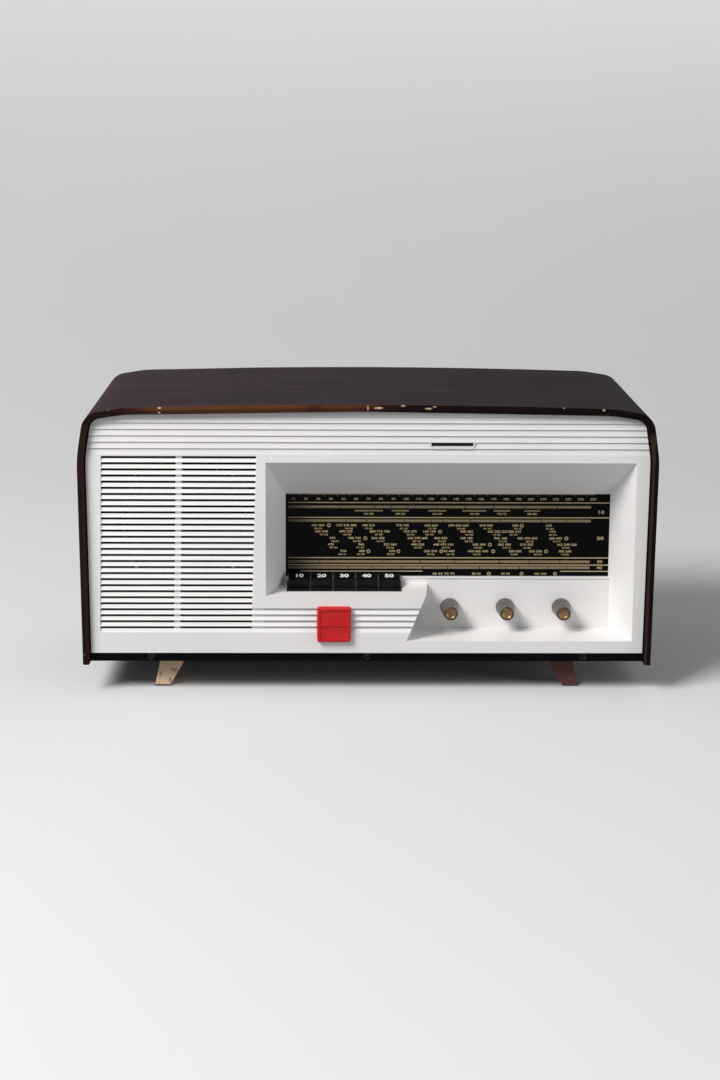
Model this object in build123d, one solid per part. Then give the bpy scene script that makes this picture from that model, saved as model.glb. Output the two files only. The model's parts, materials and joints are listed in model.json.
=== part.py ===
from build123d import *
import math
import os

# Table radio: a bent plywood cabinet with a moulded louvred front, a tuning dial, five piano keys,
# three knobs and the valve chassis that they work.
# Millimetres. X runs to the right, Y to the back and Z up. The origin is on the table, under the
# middle of the cabinet. A "depth" is measured to the back from the flat face of the moulded front.

# Cabinet shell
half_width = 250.0          # half the outer width at the widest height
widest_height = 200.0
side_taper = 0.0125         # how far each side leans in for each millimetre further down
cabinet_depth = 204.0
crown_height = 257.5        # top of the cabinet at its middle
shoulder_inset = 38.0       # the crown ends this far in from the side
shoulder_drop = 3.3
corner_inset = 5.9          # sharp corner that the tight bend rounds off
corner_drop = 8.7
hip_drop = 47.5             # the side starts to lean in this far below the crown
hip_radius = 110.0
corner_radius = 17.0
shoulder_radius = 110.0
shell_wall = 5.6
shell_lip = 5.0             # how far the shell stands in front of the moulded face
shell_foot = 1.7            # how far the sides reach below the bottom board

# Bottom board, legs and battens
leg_height = 28.2
leg_top_margins = (92.0, 68.0)      # from the cabinet's widest line to the leg's two sides
leg_foot_margins = (75.4, 62.2)
leg_top_depth = (23.0, 41.0)
leg_foot_depth = (17.0, 29.5)
board_thickness = 7.8
board_set_back = 1.5
board_side_gap = 0.2
batten_width = 9.0
batten_thickness = 12.0
batten_gap = 2.0            # between the cleats and the upright battens
top_rail_half = 188.0
top_rail_under_crown = 18.5
cleat_width = 14.0
cleat_height = 14.0
glue_gap = 0.1
vent_hole_radius = 6.0
vent_hole_pitch = 26.0
vent_hole_count = 6

# Moulded front
bezel_gap = 1.3             # dark gap all round between the moulding and the shell
bezel_plate = 3.0
bezel_skirt_depth = 12.8
bezel_skirt_wall = 2.2
boss_radius = 3.4
bezel_screw_inset = 5.2
bezel_screw_low = 34.0      # above the bottom board
bezel_screw_under_head = 10.0
bezel_top_screw_x = 120.0
bezel_top_screw_under_crown = 13.5

# Clapboard strips over the whole width, above the grille
strip_foot_over_head = 6.0  # from the recess's head up to the first strip
strip_first_height = 6.4
strip_pitch = 5.6
strip_count = 6
strip_relief = 1.2

# Louvred grille
slat_pitch = 5.41
slot_height = 2.3
slot_first = 21.75          # all heights of the front are above the bottom board
slat_foot = 18.5
slat_relief = 1.5
grille_foot_margin = 17.2   # from the cabinet's widest line to the lowest slot
grille_head_margin = 20.1
grille_recess_foot_gap = 12.5
grille_recess_head_gap = 8.0
grille_rib_offset = 66.7    # from the grille's left edge to its closed rib
grille_rib_width = 5.2
ridge_rows = 4              # lowest slats that carry on, closed, across the key block

# Recess that holds the dial and the knobs
recess_depth = 40.0
recess_wall = 2.4
recess_left = -88.7
recess_right_margin = 18.3
recess_sill = 10.8
recess_head_under_crown = 51.5
recess_left_splay = 15.3
recess_right_splay = 14.8
recess_head_drop = 35.0     # the head slopes this far down on its way to the dial
ledge_height = 51.5
ledge_end_x = 50.8
block_foot_x = 34.1
ledge_end_splay = 3.3
block_foot_splay = 8.4
dial_sill = 57.7
dial_bead_height = 1.4
dial_bead_proud = 0.8

# Tuning indicator behind its slot in the strips
window_left = 53.9
window_right = 90.1
window_over_strip_foot = 8.4
window_height = 3.2
window_rim = 2.0
window_rim_proud = 0.4
indicator_radius = 10.0
indicator_length = 64.0
indicator_depth = 15.6
indicator_gap = 0.4
indicator_boss_offset = 38.0

# Badge
badge_width = 29.8
badge_height = 31.5
badge_thickness = 4.4
badge_x = -29.3
badge_sill = 10.7
badge_round = 1.4
badge_pin_radius = 1.2

# Piano keys
key_count = 5
key_pitch = 20.0
key_gap = 0.7
key_bank_left = -70.3
key_front_depth = 15.0
key_crease_depth = 26.0
key_back_depth = 38.4
key_front_height = 53.0
key_crease_height = 56.4
key_back_height = 62.6
key_foot_height = 46.0
key_dish = 1.3
key_notch_clearance = 0.9
key_arm_width = 12.0
key_arm_top = 53.5
key_arm_thickness = 6.0
key_pivot_depth = 84.0
key_pivot_height = 51.0
key_tail = 10.0
key_pivot_radius = 1.5

# Knobs and their shafts
knob_x = (74.2, 123.9, 174.1)
knob_height = 29.6
knob_length = 20.6
knob_base_radius = 8.5
knob_tip_radius = 6.2
knob_flutes = 24
knob_flute_depth = 0.35
knob_flute_radius = 1.1
knob_cap_radius = 5.1
knob_cap_depth = 2.0
knob_panel_gap = 0.3
shaft_radius = 3.0
running_gap = 0.05
panel_hole_radius = 4.2

# Dial
glass_thickness = 3.0
glass_side_lap = 3.6
glass_foot = 55.0
glass_head_lap = 2.6
pointer_space = 7.6
reflector_sheet = 1.0
rail_radius = 1.5
rail_above_glass = 4.0
pointer_left_margin = 11.0  # from the glass's edge to the pointer's first place
pointer_right_margin = 19.5
pointer_width = 1.2
pointer_sheet = 0.6
carriage_width = 14.0
carriage_height = 7.0
carriage_depth = 5.0
lamp_left_x = 0.0
lamp_right_margin = 38.5
lamp_under_glass_head = 22.5
lamp_bulb_radius = 4.6

# Dial drive
drum_x = 130.0
drum_height = 76.0
drum_turns = 1.5            # for the pointer's whole travel
drum_flange = 2.2
drum_hub = 3.0
drum_hub_radius = 8.0
drum_web = 4.2              # left round each of the drum's four holes
reduction_radius = 12.0     # housing of the 3 to 1 ball reduction on the capacitor
drum_width = 4.0
drum_gap = 1.2
spindle_cord_radius = 4.0
flywheel_radius = 14.0
flywheel_width = 10.0
pulley_radius = 6.0
pulley_width = 3.4
pulley_inset = 9.0
pulley_pin_radius = 1.5

# Chassis
chassis_front_depth = 66.0
chassis_back_gap = 8.3      # room for the sockets in front of the back panel
chassis_left = -84.0
chassis_right_gap = 5.7
chassis_top = 45.2
chassis_sheet = 1.2
chassis_flange = 12.0

# Loudspeaker
speaker_x = -160.0
speaker_under_baffle_head = 77.0
speaker_radius = 64.0
speaker_opening_radius = 55.0
speaker_sheet = 1.2
speaker_basket_depth = 30.0
speaker_neck_radius = 26.0
magnet_radius = 30.0
magnet_depth = 28.0
voice_coil_radius = 12.5
voice_coil_wall = 0.6
cone_wall = 0.8
coil_gap = 0.5
baffle_thickness = 4.0
baffle_side_gap = 1.0
baffle_foot = 9.0
baffle_head_over_recess = 22.0

# Back panel
back_panel_thickness = 3.0
back_panel_inset = 4.7
back_panel_gap = 0.8
back_slot_length = 52.0
back_slot_height = 3.2
back_slot_pitch = 8.0
back_slot_rows = 9
back_slot_columns = (-150.0, -50.0, 50.0, 150.0)
back_slot_foot = 92.0

# Screws
screw_radius = 1.75
screw_head_radius = 3.4
screw_head_height = 1.8
screw_hole_gap = 0.1

# Places that several pieces share
front_y = -cabinet_depth / 2
face_y = front_y + shell_lip
board_foot = leg_height
board_top = board_foot + board_thickness
shell_bottom = board_foot - shell_foot
bezel_inset = shell_wall + bezel_gap
panel_depth = recess_depth + recess_wall
rail_depth = bezel_skirt_depth + glue_gap
glass_back_depth = panel_depth + glass_thickness
reflector_depth = glass_back_depth + pointer_space
drum_depth = reflector_depth + reflector_sheet + drum_gap
cord_depth = drum_depth + drum_width / 2
leg_top_x = [half_width - margin for margin in leg_top_margins]
leg_foot_x = [half_width - margin for margin in leg_foot_margins]
back_panel_y = cabinet_depth / 2 - back_panel_inset - back_panel_thickness
chassis_front_y = face_y + chassis_front_depth
chassis_rear_y = back_panel_y - chassis_back_gap
recess_right = half_width - recess_right_margin
recess_head = crown_height - recess_head_under_crown - board_top
strip_foot = recess_head + strip_foot_over_head
strip_first = strip_foot + strip_first_height
window_sill = strip_foot + window_over_strip_foot
slat_count = 1 + int((strip_foot - slot_first - slot_height) / slat_pitch)
baffle_head = recess_head + baffle_head_over_recess
speaker_height = baffle_head - speaker_under_baffle_head
chassis_right = recess_right - chassis_right_gap
grille_left_foot = grille_foot_margin - half_width
grille_left_head = grille_head_margin - half_width
glass_left = recess_left + recess_left_splay - glass_side_lap
glass_right = recess_right - recess_right_splay + glass_side_lap
pointer_start_x = glass_left + pointer_left_margin
pointer_travel = glass_right - pointer_right_margin - pointer_start_x
drum_radius = pointer_travel / (drum_turns * 2 * math.pi)


def at(depth):
    """Y of a depth behind the moulded face."""
    return face_y + depth


def up(height):
    """Z of a height above the bottom board."""
    return board_top + height


def side_x(z):
    """Half the outer width of the cabinet at a height, on the straight part of its side."""
    return half_width - side_taper * (widest_height - z)


def wall_x(z):
    """Half the clear width between the shell's sides."""
    return side_x(z) - shell_wall


def block(x_span, y_span, z_span):
    """A box between two X, two Y and two Z values."""
    spans = (x_span, y_span, z_span)
    centre = [(low + high) / 2 for low, high in spans]
    size = [high - low for low, high in spans]
    return Pos(*centre) * Box(*size)


def rod_x(y, z, radius, x_low, x_high):
    """A round bar along X."""
    return Pos((x_low + x_high) / 2, y, z) * Rot(0, 90, 0) * Cylinder(radius, x_high - x_low)


def rod_y(x, z, radius, y_low, y_high):
    """A round bar along Y."""
    return Pos(x, (y_low + y_high) / 2, z) * Rot(90, 0, 0) * Cylinder(radius, y_high - y_low)


def rod_z(x, y, radius, z_low, z_high):
    """A round bar along Z."""
    return Pos(x, y, (z_low + z_high) / 2) * Cylinder(radius, z_high - z_low)


def prism_x(points, x_low, x_high):
    """A (y, z) outline pulled along X."""
    face = make_face(Polyline([(x_low, y, z) for y, z in points], close=True))
    return extrude(face, x_high - x_low, dir=(1, 0, 0))


def prism_y(points, y_low, y_high):
    """An (x, z) outline pulled along Y."""
    face = make_face(Polyline([(x, y_low, z) for x, z in points], close=True))
    return extrude(face, y_high - y_low, dir=(0, 1, 0))


def turned_y(profile, x, z):
    """A (radius, y) outline turned round an axis along Y."""
    face = make_face(Polyline([(x + radius, y, z) for radius, y in profile], close=True))
    return revolve(face, axis=Axis((x, 0, z), (0, 1, 0)))


def turned_z(profile, x, y):
    """A (radius, z) outline turned round an axis along Z."""
    face = make_face(Polyline([(x + radius, y, z) for radius, z in profile], close=True))
    return revolve(face, axis=Axis((x, y, 0), (0, 0, 1)))


def mirrored(piece):
    """The same piece on the other side of the cabinet."""
    return mirror(piece, about=Plane.YZ)


def cabinet_outline(inset, bottom):
    """The cabinet's front outline, drawn in by an inset, with a flat bottom."""
    low = bottom - inset
    hip = crown_height - hip_drop
    left = [
        (-side_x(low), low),
        (-side_x(hip), hip),
        (corner_inset - half_width, crown_height - corner_drop),
        (shoulder_inset - half_width, crown_height - shoulder_drop),
    ]
    right = [(-x, z) for x, z in reversed(left)]
    edges = Polyline(*left) + ThreePointArc(left[-1], (0, crown_height), right[0])
    edges += Polyline(*right) + Line(right[-1], left[0])
    sketch = make_face(edges)
    for (x, z), radius in zip(left[1:], (hip_radius, corner_radius, shoulder_radius)):
        ends = [v for v in sketch.vertices() if abs(abs(v.X) - abs(x)) < 0.01 and abs(v.Y - z) < 0.01]
        sketch = fillet(ends, radius)
    if inset > 0:
        sketch = offset(sketch, amount=-inset)
    return Plane.XZ * sketch


def cabinet_slab(inset, bottom, y_low, y_high):
    """The cabinet's outline as a slab between two Y values."""
    face = Pos(0, y_low, 0) * cabinet_outline(inset, bottom)
    return extrude(face, y_high - y_low, dir=(0, 1, 0))


def screw(x, y, z, axis, sign, length):
    """A screw whose head sits on the point and whose shank runs along sign times the axis."""
    bar = {"x": rod_x, "y": rod_y, "z": rod_z}[axis]
    place = {"x": (y, z), "y": (x, z), "z": (x, y)}[axis]
    start = {"x": x, "y": y, "z": z}[axis]
    head = sorted((start, start - sign * screw_head_height))
    shank = sorted((start - sign * screw_head_height / 2, start + sign * length))
    return bar(*place, screw_head_radius, *head) + bar(*place, screw_radius, *shank)


# Cabinet

def make_cabinet_shell():
    """The bent plywood top and sides, open at the bottom, the front and the back."""
    outer = cabinet_slab(0, shell_bottom, front_y, -front_y)
    inner = cabinet_slab(shell_wall, shell_bottom - 2 * shell_wall, front_y - 1, -front_y + 1)
    return outer - inner


def make_leg(side, end):
    """A splayed leg that tapers from the board to the table."""
    def corners(x_span, depths, z):
        ys = [at(depth) for depth in depths]
        points = [(x_span[0], ys[0]), (x_span[1], ys[0]), (x_span[1], ys[1]), (x_span[0], ys[1])]
        return make_face(Polyline([(x, y, z) for x, y in points], close=True))
    leg = loft([corners(leg_foot_x, leg_foot_depth, 0), corners(leg_top_x, leg_top_depth, leg_height)])
    leg -= leg_screw_hole()
    if side < 0:
        leg = mirrored(leg)
    if end > 0:
        leg = mirror(leg, about=Plane.XZ)
    return leg


leg_screw_x = sum(leg_top_x) / 2
leg_screw_y = at(sum(leg_top_depth) / 2)
leg_screw_length = board_thickness + 12.0


def leg_screw_hole():
    """The hole that a leg's screw takes through the board and into the leg."""
    radius = screw_radius + screw_hole_gap
    return rod_z(leg_screw_x, leg_screw_y, radius, board_top - leg_screw_length - 1, board_top + 1)


def leg_screw_places():
    return [(sx * leg_screw_x, sy * leg_screw_y) for sx in (-1, 1) for sy in (-1, 1)]


chassis_screw_inset = 6.0
chassis_screw_y = (chassis_front_y + 18.0, chassis_rear_y - 18.0)
plinth_screw_margin = 61.0
plinth_screw_x = (plinth_screw_margin - half_width, -1.0, half_width - plinth_screw_margin)
plinth_screw_length = 14.0
plinth_screw_height = -3.4


def chassis_screw_places():
    xs = (chassis_left + chassis_screw_inset, chassis_right - chassis_screw_inset)
    return [(x, y) for x in xs for y in chassis_screw_y]


def make_bottom_board():
    """The black board between the sides, with the holes for legs, chassis and air."""
    y_low = at(board_set_back)
    y_high = cabinet_depth / 2 - 1.0
    board = cabinet_slab(shell_wall + board_side_gap, board_foot, y_low, y_high)
    board &= block((-half_width, half_width), (y_low - 1, y_high + 1), (board_foot - 1, board_top))
    holes = []
    radius = screw_radius + screw_hole_gap
    for x, y in leg_screw_places() + chassis_screw_places():
        holes.append(rod_z(x, y, radius, board_foot - 1, board_top + 1))
    for x in plinth_screw_x:
        holes.append(rod_y(x, up(plinth_screw_height), radius, y_low - 1, y_low + plinth_screw_length))
    middle_x = (chassis_left + chassis_right) / 2
    for row in (0.0, vent_hole_pitch):
        for index in range(vent_hole_count):
            x = middle_x + (index - (vent_hole_count - 1) / 2) * vent_hole_pitch
            holes.append(rod_z(x, row, vent_hole_radius, board_foot - 1, board_top + 1))
    return board - holes


side_rail_low = up(cleat_height + 1.0)
side_rail_high = up(recess_head - 2.0)
bezel_screw_z = (up(bezel_screw_low), up(recess_head - bezel_screw_under_head))
bezel_top_screw_z = crown_height - bezel_top_screw_under_crown


def side_batten(width, y_span, z_span):
    """A batten glued along the inside of the left side, following its lean."""
    low, high = z_span
    points = [(-wall_x(low) + glue_gap, low), (-wall_x(low) + width, low),
              (-wall_x(high) + width, high), (-wall_x(high) + glue_gap, high)]
    return prism_y(points, *y_span)


def make_battens():
    """Wooden battens glued inside the shell: they hold the front, the back and the board."""
    front_span = (at(rail_depth), at(rail_depth + batten_thickness))
    back_span = (back_panel_y - batten_thickness - glue_gap, back_panel_y - glue_gap)
    solids = []
    for y_span in (front_span, back_span):
        rail = side_batten(batten_width, y_span, (side_rail_low, side_rail_high))
        top = cabinet_slab(shell_wall + glue_gap, board_top, *y_span)
        top &= block((-top_rail_half, top_rail_half), y_span,
                     (crown_height - top_rail_under_crown, crown_height))
        solids += [rail, mirrored(rail), top]
    cleat_span = (front_span[1] + batten_gap, back_span[0] - batten_gap)
    cleat = side_batten(cleat_width, cleat_span, (board_top, up(cleat_height)))
    solids += [cleat, mirrored(cleat)]
    holes = []
    for x, z in bezel_screw_places():
        holes.append(rod_y(x, z, screw_radius + screw_hole_gap, front_span[0] - 1, front_span[1] + 1))
    for x, z in back_screw_places():
        holes.append(rod_y(x, z, screw_radius + screw_hole_gap, back_span[0] - 1, back_span[1] + 1))
    return [solid - holes for solid in solids]


def bezel_screw_places():
    places = [(sign * (wall_x(z) - bezel_screw_inset), z) for z in bezel_screw_z for sign in (-1, 1)]
    return places + [(-bezel_top_screw_x, bezel_top_screw_z), (bezel_top_screw_x, bezel_top_screw_z)]


def back_screw_places():
    return bezel_screw_places()


bezel_screw_length = batten_thickness + 7.0


def make_wood_screws():
    """The like screws of the cabinet: front, legs, chassis and indicator bracket."""
    solids = []
    for x, z in bezel_screw_places():
        solids.append(screw(x, at(rail_depth + batten_thickness), z, "y", -1, bezel_screw_length))
    for x, y in leg_screw_places():
        solids.append(screw(x, y, board_top, "z", -1, leg_screw_length))
    for x, y in chassis_screw_places():
        solids.append(screw(x, y, board_foot, "z", 1, board_thickness + 7.0))
    bracket_back = at(indicator_plate_depth) + indicator_plate_thickness
    for x in indicator_boss_x():
        solids.append(screw(x, bracket_back, indicator_z(), "y", -1, indicator_screw_length))
    return solids


def make_plinth_screws():
    """Three screws in the front edge of the bottom board."""
    y = at(board_set_back)
    return [screw(x, y, up(plinth_screw_height), "y", 1, plinth_screw_length - 2) for x in plinth_screw_x]


# Moulded front

def recess_corners(depth, grow=0.0):
    """The recess outline at a depth, each corner moved out by a wall's thickness."""
    share = depth / recess_depth
    left = recess_left + recess_left_splay * share - grow
    right = recess_right - recess_right_splay * share + grow
    head = up(recess_head) - recess_head_drop * share + grow
    sill = up(recess_sill) - grow
    ledge = up(ledge_height) - grow
    end_x = ledge_end_x + ledge_end_splay * share - grow
    foot_x = block_foot_x + block_foot_splay * share - grow
    return [(left, ledge), (left, head), (right, head), (right, sill), (foot_x, sill), (end_x, ledge)]


def recess_solid(depth_low, depth_high, grow=0.0):
    """The splayed space of the recess between two depths."""
    faces = []
    for depth in (depth_low, depth_high):
        points = [(x, at(depth), z) for x, z in recess_corners(depth, grow)]
        faces.append(make_face(Polyline(points, close=True)))
    return loft(faces, ruled=True)


def slat_level(row):
    """Height of a slot's lower edge."""
    return up(slot_first + row * slat_pitch)


def grille_x(foot_x, head_x, row):
    """X of a leaning grille edge at a row of slots."""
    return foot_x + (head_x - foot_x) * row / (slat_count - 1)


def relief_cut(z_top, z_shoulder, z_foot, relief, x_low, x_high):
    """The wedge that lets a clapboard's upper edge stand back from the face."""
    points = [(at(-2), z_top), (at(relief), z_top), (at(relief), z_shoulder),
              (at(0), z_foot), (at(-2), z_foot)]
    if z_top == z_shoulder:
        points.pop(2)
    return prism_x(points, x_low, x_high)


def louvre_cuts():
    """Clapboard wedges and slots of the grille, and the closed ridges of the key block."""
    cuts = []
    for row in range(slat_count):
        low = slat_level(row)
        foot = low - slat_pitch + slot_height
        if row == 0:
            foot = up(slat_foot)
        left = grille_x(grille_left_foot, grille_left_head, row)
        right = recess_left - grille_x(grille_recess_foot_gap, grille_recess_head_gap, row)
        rib = left + grille_rib_offset
        far = right
        if row < ridge_rows:
            far = ledge_end_x + 1.0
        cuts.append(relief_cut(low + slot_height, low, foot, slat_relief, left, far))
        for x_span in ((left, rib - grille_rib_width / 2), (rib + grille_rib_width / 2, right)):
            cuts.append(block(x_span, (at(0), at(bezel_plate + 1)), (low, low + slot_height)))
    return cuts


def strip_cuts():
    """Clapboard wedges across the whole width above the grille."""
    cuts = []
    foot = up(strip_foot)
    for index in range(strip_count):
        top = up(strip_first + index * strip_pitch)
        cuts.append(relief_cut(top, top, foot, strip_relief, -half_width, half_width))
        foot = top
    cuts.append(relief_cut(foot + strip_pitch, foot + strip_pitch, foot, strip_relief,
                           -half_width, half_width))
    return cuts


def indicator_rim():
    """The raised rim round the indicator's slot, with ends that lean in."""
    low = up(window_sill) - window_rim
    high = up(window_sill) + window_height
    points = [(window_left - window_rim, high), (window_left - window_rim, low + window_rim),
              (window_left, low), (window_right, low), (window_right + window_rim, high)]
    return prism_y(points, at(-window_rim_proud), at(bezel_plate))


def key_bank_span():
    """X span of the notch that the keys stand in."""
    left = key_bank_left - key_notch_clearance
    right = key_bank_left + key_count * key_pitch + key_notch_clearance
    return left, right


def key_notch():
    """The opening in the ledge and in the back panel of the recess for the keys and their arms."""
    span = key_bank_span()
    depths = (at(key_front_depth - key_notch_clearance), at(recess_depth))
    ledge_cut = block(span, depths, (up(ledge_height - 2 * recess_wall), up(ledge_height + 1)))
    low = up(key_arm_top - key_arm_thickness) - 4.0
    panel_cut = block(span, (at(recess_depth - 1), at(panel_depth + 1)), (low, up(key_arm_top) + 0.6))
    return ledge_cut + panel_cut


baffle_boss_x = (-222.0, -104.0)
baffle_boss_height = (baffle_foot + 4.0, baffle_head - 8.0)
baffle_boss_hole_depth = 6.0


def indicator_boss_x():
    middle = (window_left + window_right) / 2
    return middle - indicator_boss_offset, middle + indicator_boss_offset


def indicator_z():
    return up(window_sill + window_height / 2)


indicator_plate_depth = indicator_depth + indicator_radius + indicator_gap
indicator_plate_thickness = 1.2
indicator_screw_length = 7.0


def make_front_bezel():
    """The white moulding: louvred grille, clapboard strips and the recess, on one skirted plate."""
    bezel = cabinet_slab(bezel_inset, board_top, at(0), at(bezel_skirt_depth))
    bezel -= cabinet_slab(bezel_inset + bezel_skirt_wall, up(bezel_skirt_wall), at(bezel_plate),
                          at(bezel_skirt_depth + 1))
    bezel += recess_solid(1.0, panel_depth, recess_wall)
    bezel -= recess_solid(-2.0, recess_depth)
    opening = recess_solid(recess_depth - 1, panel_depth + 1)
    opening &= block((-half_width, half_width), (at(recess_depth - 1), at(panel_depth + 2)),
                     (up(dial_sill), crown_height))
    bezel -= opening
    bead = recess_solid(recess_depth - dial_bead_proud, recess_depth)
    bead &= block((key_bank_span()[1] + 1, half_width), (at(0), at(panel_depth)),
                  (up(dial_sill - dial_bead_height), up(dial_sill)))
    bezel += bead
    bezel -= strip_cuts()
    bezel += indicator_rim()
    bezel -= block((window_left, window_right), (at(-2), at(bezel_plate + 1)),
                   (up(window_sill), up(window_sill + window_height)))
    bezel -= louvre_cuts()
    bezel -= key_notch()
    hole = screw_radius + screw_hole_gap
    for x, z in bezel_screw_places():
        bezel += rod_y(x, z, boss_radius, at(bezel_plate - 0.5), at(bezel_skirt_depth))
        bezel -= rod_y(x, z, hole, at(bezel_skirt_depth - 8), at(bezel_skirt_depth + 1))
    for x in baffle_boss_x:
        for height in baffle_boss_height:
            bezel += rod_y(x, up(height), boss_radius, at(bezel_plate - 0.5), at(bezel_skirt_depth))
            bezel -= rod_y(x, up(height), hole, at(bezel_skirt_depth - baffle_boss_hole_depth),
                           at(bezel_skirt_depth + 1))
    for x in indicator_boss_x():
        z = up(window_sill + window_height / 2)
        bezel += rod_y(x, z, boss_radius, at(bezel_plate - 0.5), at(indicator_plate_depth))
        bezel -= rod_y(x, z, hole, at(indicator_plate_depth - 8), at(indicator_plate_depth + 1))
    for x in knob_x:
        bezel -= rod_y(x, up(knob_height), panel_hole_radius, at(recess_depth - 1), at(panel_depth + 1))
    for z in badge_pin_z():
        bezel -= rod_y(badge_x, z, badge_pin_radius + running_gap, at(-1), at(bezel_plate + 1))
    return bezel


def badge_pin_z():
    middle = up(badge_sill + badge_height / 2)
    return middle - badge_height / 4, middle + badge_height / 4


def make_badge():
    """The bare red plate on the front, with a low rim and two pins into the moulding."""
    x_span = (badge_x - badge_width / 2, badge_x + badge_width / 2)
    z_span = (up(badge_sill), up(badge_sill + badge_height))
    plate = block(x_span, (at(-badge_thickness), at(0)), z_span)
    plate = fillet(plate.edges().filter_by(Axis.Y), 2 * badge_round)
    front = plate.edges().group_by(Axis.Y)[0]
    plate = fillet(front, badge_round)
    for z in badge_pin_z():
        plate += rod_y(badge_x, z, badge_pin_radius, at(-0.5), at(bezel_plate))
    return plate


# Dial

glass_head = up(recess_head) - recess_head_drop * panel_depth / recess_depth + glass_head_lap + 1.0
rail_z = glass_head + rail_above_glass
rail_y = at(glass_back_depth + pointer_space / 2)
reflector_foot = up(glass_foot + 2.0)
reflector_feet_x = (44.0, glass_right - 15.5)
reflector_foot_width = 20.0
ear_rise = 4.0
lamp_x = (lamp_left_x, glass_right - lamp_right_margin)
lamp_z = glass_head - lamp_under_glass_head


def make_dial_glass():
    """The dial's glass, held between the recess and the reflector's edges."""
    return block((glass_left, glass_right), (at(panel_depth + 0.1), at(glass_back_depth)),
                 (up(glass_foot), glass_head))


def make_reflector():
    """Folded sheet behind the pointer, with ears for the rail and feet on the chassis."""
    back = (at(reflector_depth), at(reflector_depth + reflector_sheet))
    sheet = block((glass_left, glass_right), back, (reflector_foot, glass_head))
    for x in (glass_left, glass_right - reflector_sheet):
        flange = block((x, x + reflector_sheet), (at(glass_back_depth + 0.1), back[1]),
                       (reflector_foot, rail_z + ear_rise))
        sheet += flange - rod_x(rail_y, rail_z, rail_radius + 0.02, x - 1, x + 2)
    for x in reflector_feet_x:
        x_span = (x - reflector_foot_width / 2, x + reflector_foot_width / 2)
        sheet += block(x_span, back, (up(chassis_top), reflector_foot + 1))
        sheet += block(x_span, (back[0], chassis_front_y + 12.0),
                       (up(chassis_top), up(chassis_top) + reflector_sheet))
    for x in lamp_x:
        sheet -= rod_y(x, lamp_z, lamp_bulb_radius + 1.4, back[0] - 1, back[1] + 1)
    for x in pulley_x():
        pin_end = at(cord_depth + pulley_width / 2 + 0.8)
        sheet += rod_y(x, pulley_z, pulley_pin_radius, back[1] - 0.5, pin_end)
    return sheet


pulley_z = glass_head - pulley_radius - 1.5


def pulley_x():
    return glass_left + pulley_inset, glass_right - pulley_inset


def make_pulley(x):
    """A cord pulley on its pin behind the reflector, with a groove."""
    low = at(cord_depth) - pulley_width / 2
    high = low + pulley_width
    middle = (low + high) / 2
    bore = pulley_pin_radius + running_gap
    profile = [(bore, low), (pulley_radius + 1.2, low), (pulley_radius, middle),
               (pulley_radius + 1.2, high), (bore, high)]
    return turned_y(profile, x, pulley_z)


def make_pointer_rail():
    """The steel rail that the pointer runs on."""
    return rod_x(rail_y, rail_z, rail_radius, glass_left - 1, glass_right + 1)


def make_pointer():
    """The pointer: a carriage on the rail, a thin blade in front and a cord clip behind."""
    x = pointer_start_x
    half = carriage_width / 2
    carriage = block((x - half, x + half), (rail_y - carriage_depth / 2, rail_y + carriage_depth / 2),
                     (rail_z - carriage_height / 2, rail_z + carriage_height / 2))
    carriage -= rod_x(rail_y, rail_z, rail_radius + running_gap, x - half - 1, x + half + 1)
    blade_y = rail_y - carriage_depth / 2
    carriage += block((x - pointer_width / 2, x + pointer_width / 2), (blade_y, blade_y + pointer_sheet),
                      (reflector_foot + 3, rail_z - carriage_height / 2 + 0.5))
    clip_z = (glass_head + 0.8, glass_head + 2.4)
    carriage += block((x - 3, x + 3), (rail_y, at(cord_depth) + 1.0), clip_z)
    return carriage


def make_dial_lamps():
    """Two screw-in lamps, each in a holder on the back of the reflector."""
    solids = []
    back = at(reflector_depth + reflector_sheet)
    for x in lamp_x:
        holder = rod_y(x, lamp_z, lamp_bulb_radius + 3.0, back, back + 1.5)
        holder += rod_y(x, lamp_z, lamp_bulb_radius + 1.0, back, back + 14.0)
        holder -= rod_y(x, lamp_z, lamp_bulb_radius + 0.1, back - 1, back + 12.0)
        solids.append(holder)
        bulb = rod_y(x, lamp_z, lamp_bulb_radius, at(reflector_depth) - 1.5, back + 11.9)
        solids.append(bulb)
    return solids


# Dial drive

def make_drum():
    """The cord drum with its hub on the capacitor's spindle and four holes to lighten it."""
    low = at(drum_depth)
    high = low + drum_width
    rim = drum_radius + drum_flange
    bore = shaft_radius + running_gap
    profile = [(bore, low), (rim, low), (drum_radius, low + drum_width / 2), (rim, high),
               (drum_hub_radius, high), (drum_hub_radius, high + drum_hub), (bore, high + drum_hub)]
    drum = turned_y(profile, drum_x, up(drum_height))
    ring = (drum_hub_radius + drum_radius) / 2
    hole = (drum_radius - drum_hub_radius) / 2 - drum_web
    for index in range(4):
        angle = math.radians(45 + 90 * index)
        x = drum_x + ring * math.cos(angle)
        z = up(drum_height) + ring * math.sin(angle)
        drum -= rod_y(x, z, hole, low - 1, high + 1)
    return drum


def make_tuning_shaft():
    """The tuning shaft with its cord groove and its flywheel behind the chassis front."""
    x = knob_x[2]
    z = up(knob_height)
    shaft = rod_y(x, z, shaft_radius, knob_bore_end(), at(chassis_front_depth + flywheel_width + 10))
    low = at(cord_depth) - 2.5
    profile = [(0, low), (spindle_cord_radius + 1.2, low), (spindle_cord_radius, low + 2.5),
               (spindle_cord_radius + 1.2, low + 5.0), (0, low + 5.0)]
    shaft += turned_y(profile, x, z)
    back = chassis_front_y + chassis_sheet + 3.0
    return shaft + rod_y(x, z, flywheel_radius, back, back + flywheel_width)


# Knobs

def knob_bore_end():
    """Y where a shaft stops inside its knob."""
    return at(recess_depth - knob_panel_gap - knob_length + knob_cap_depth + 2.0)


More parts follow.
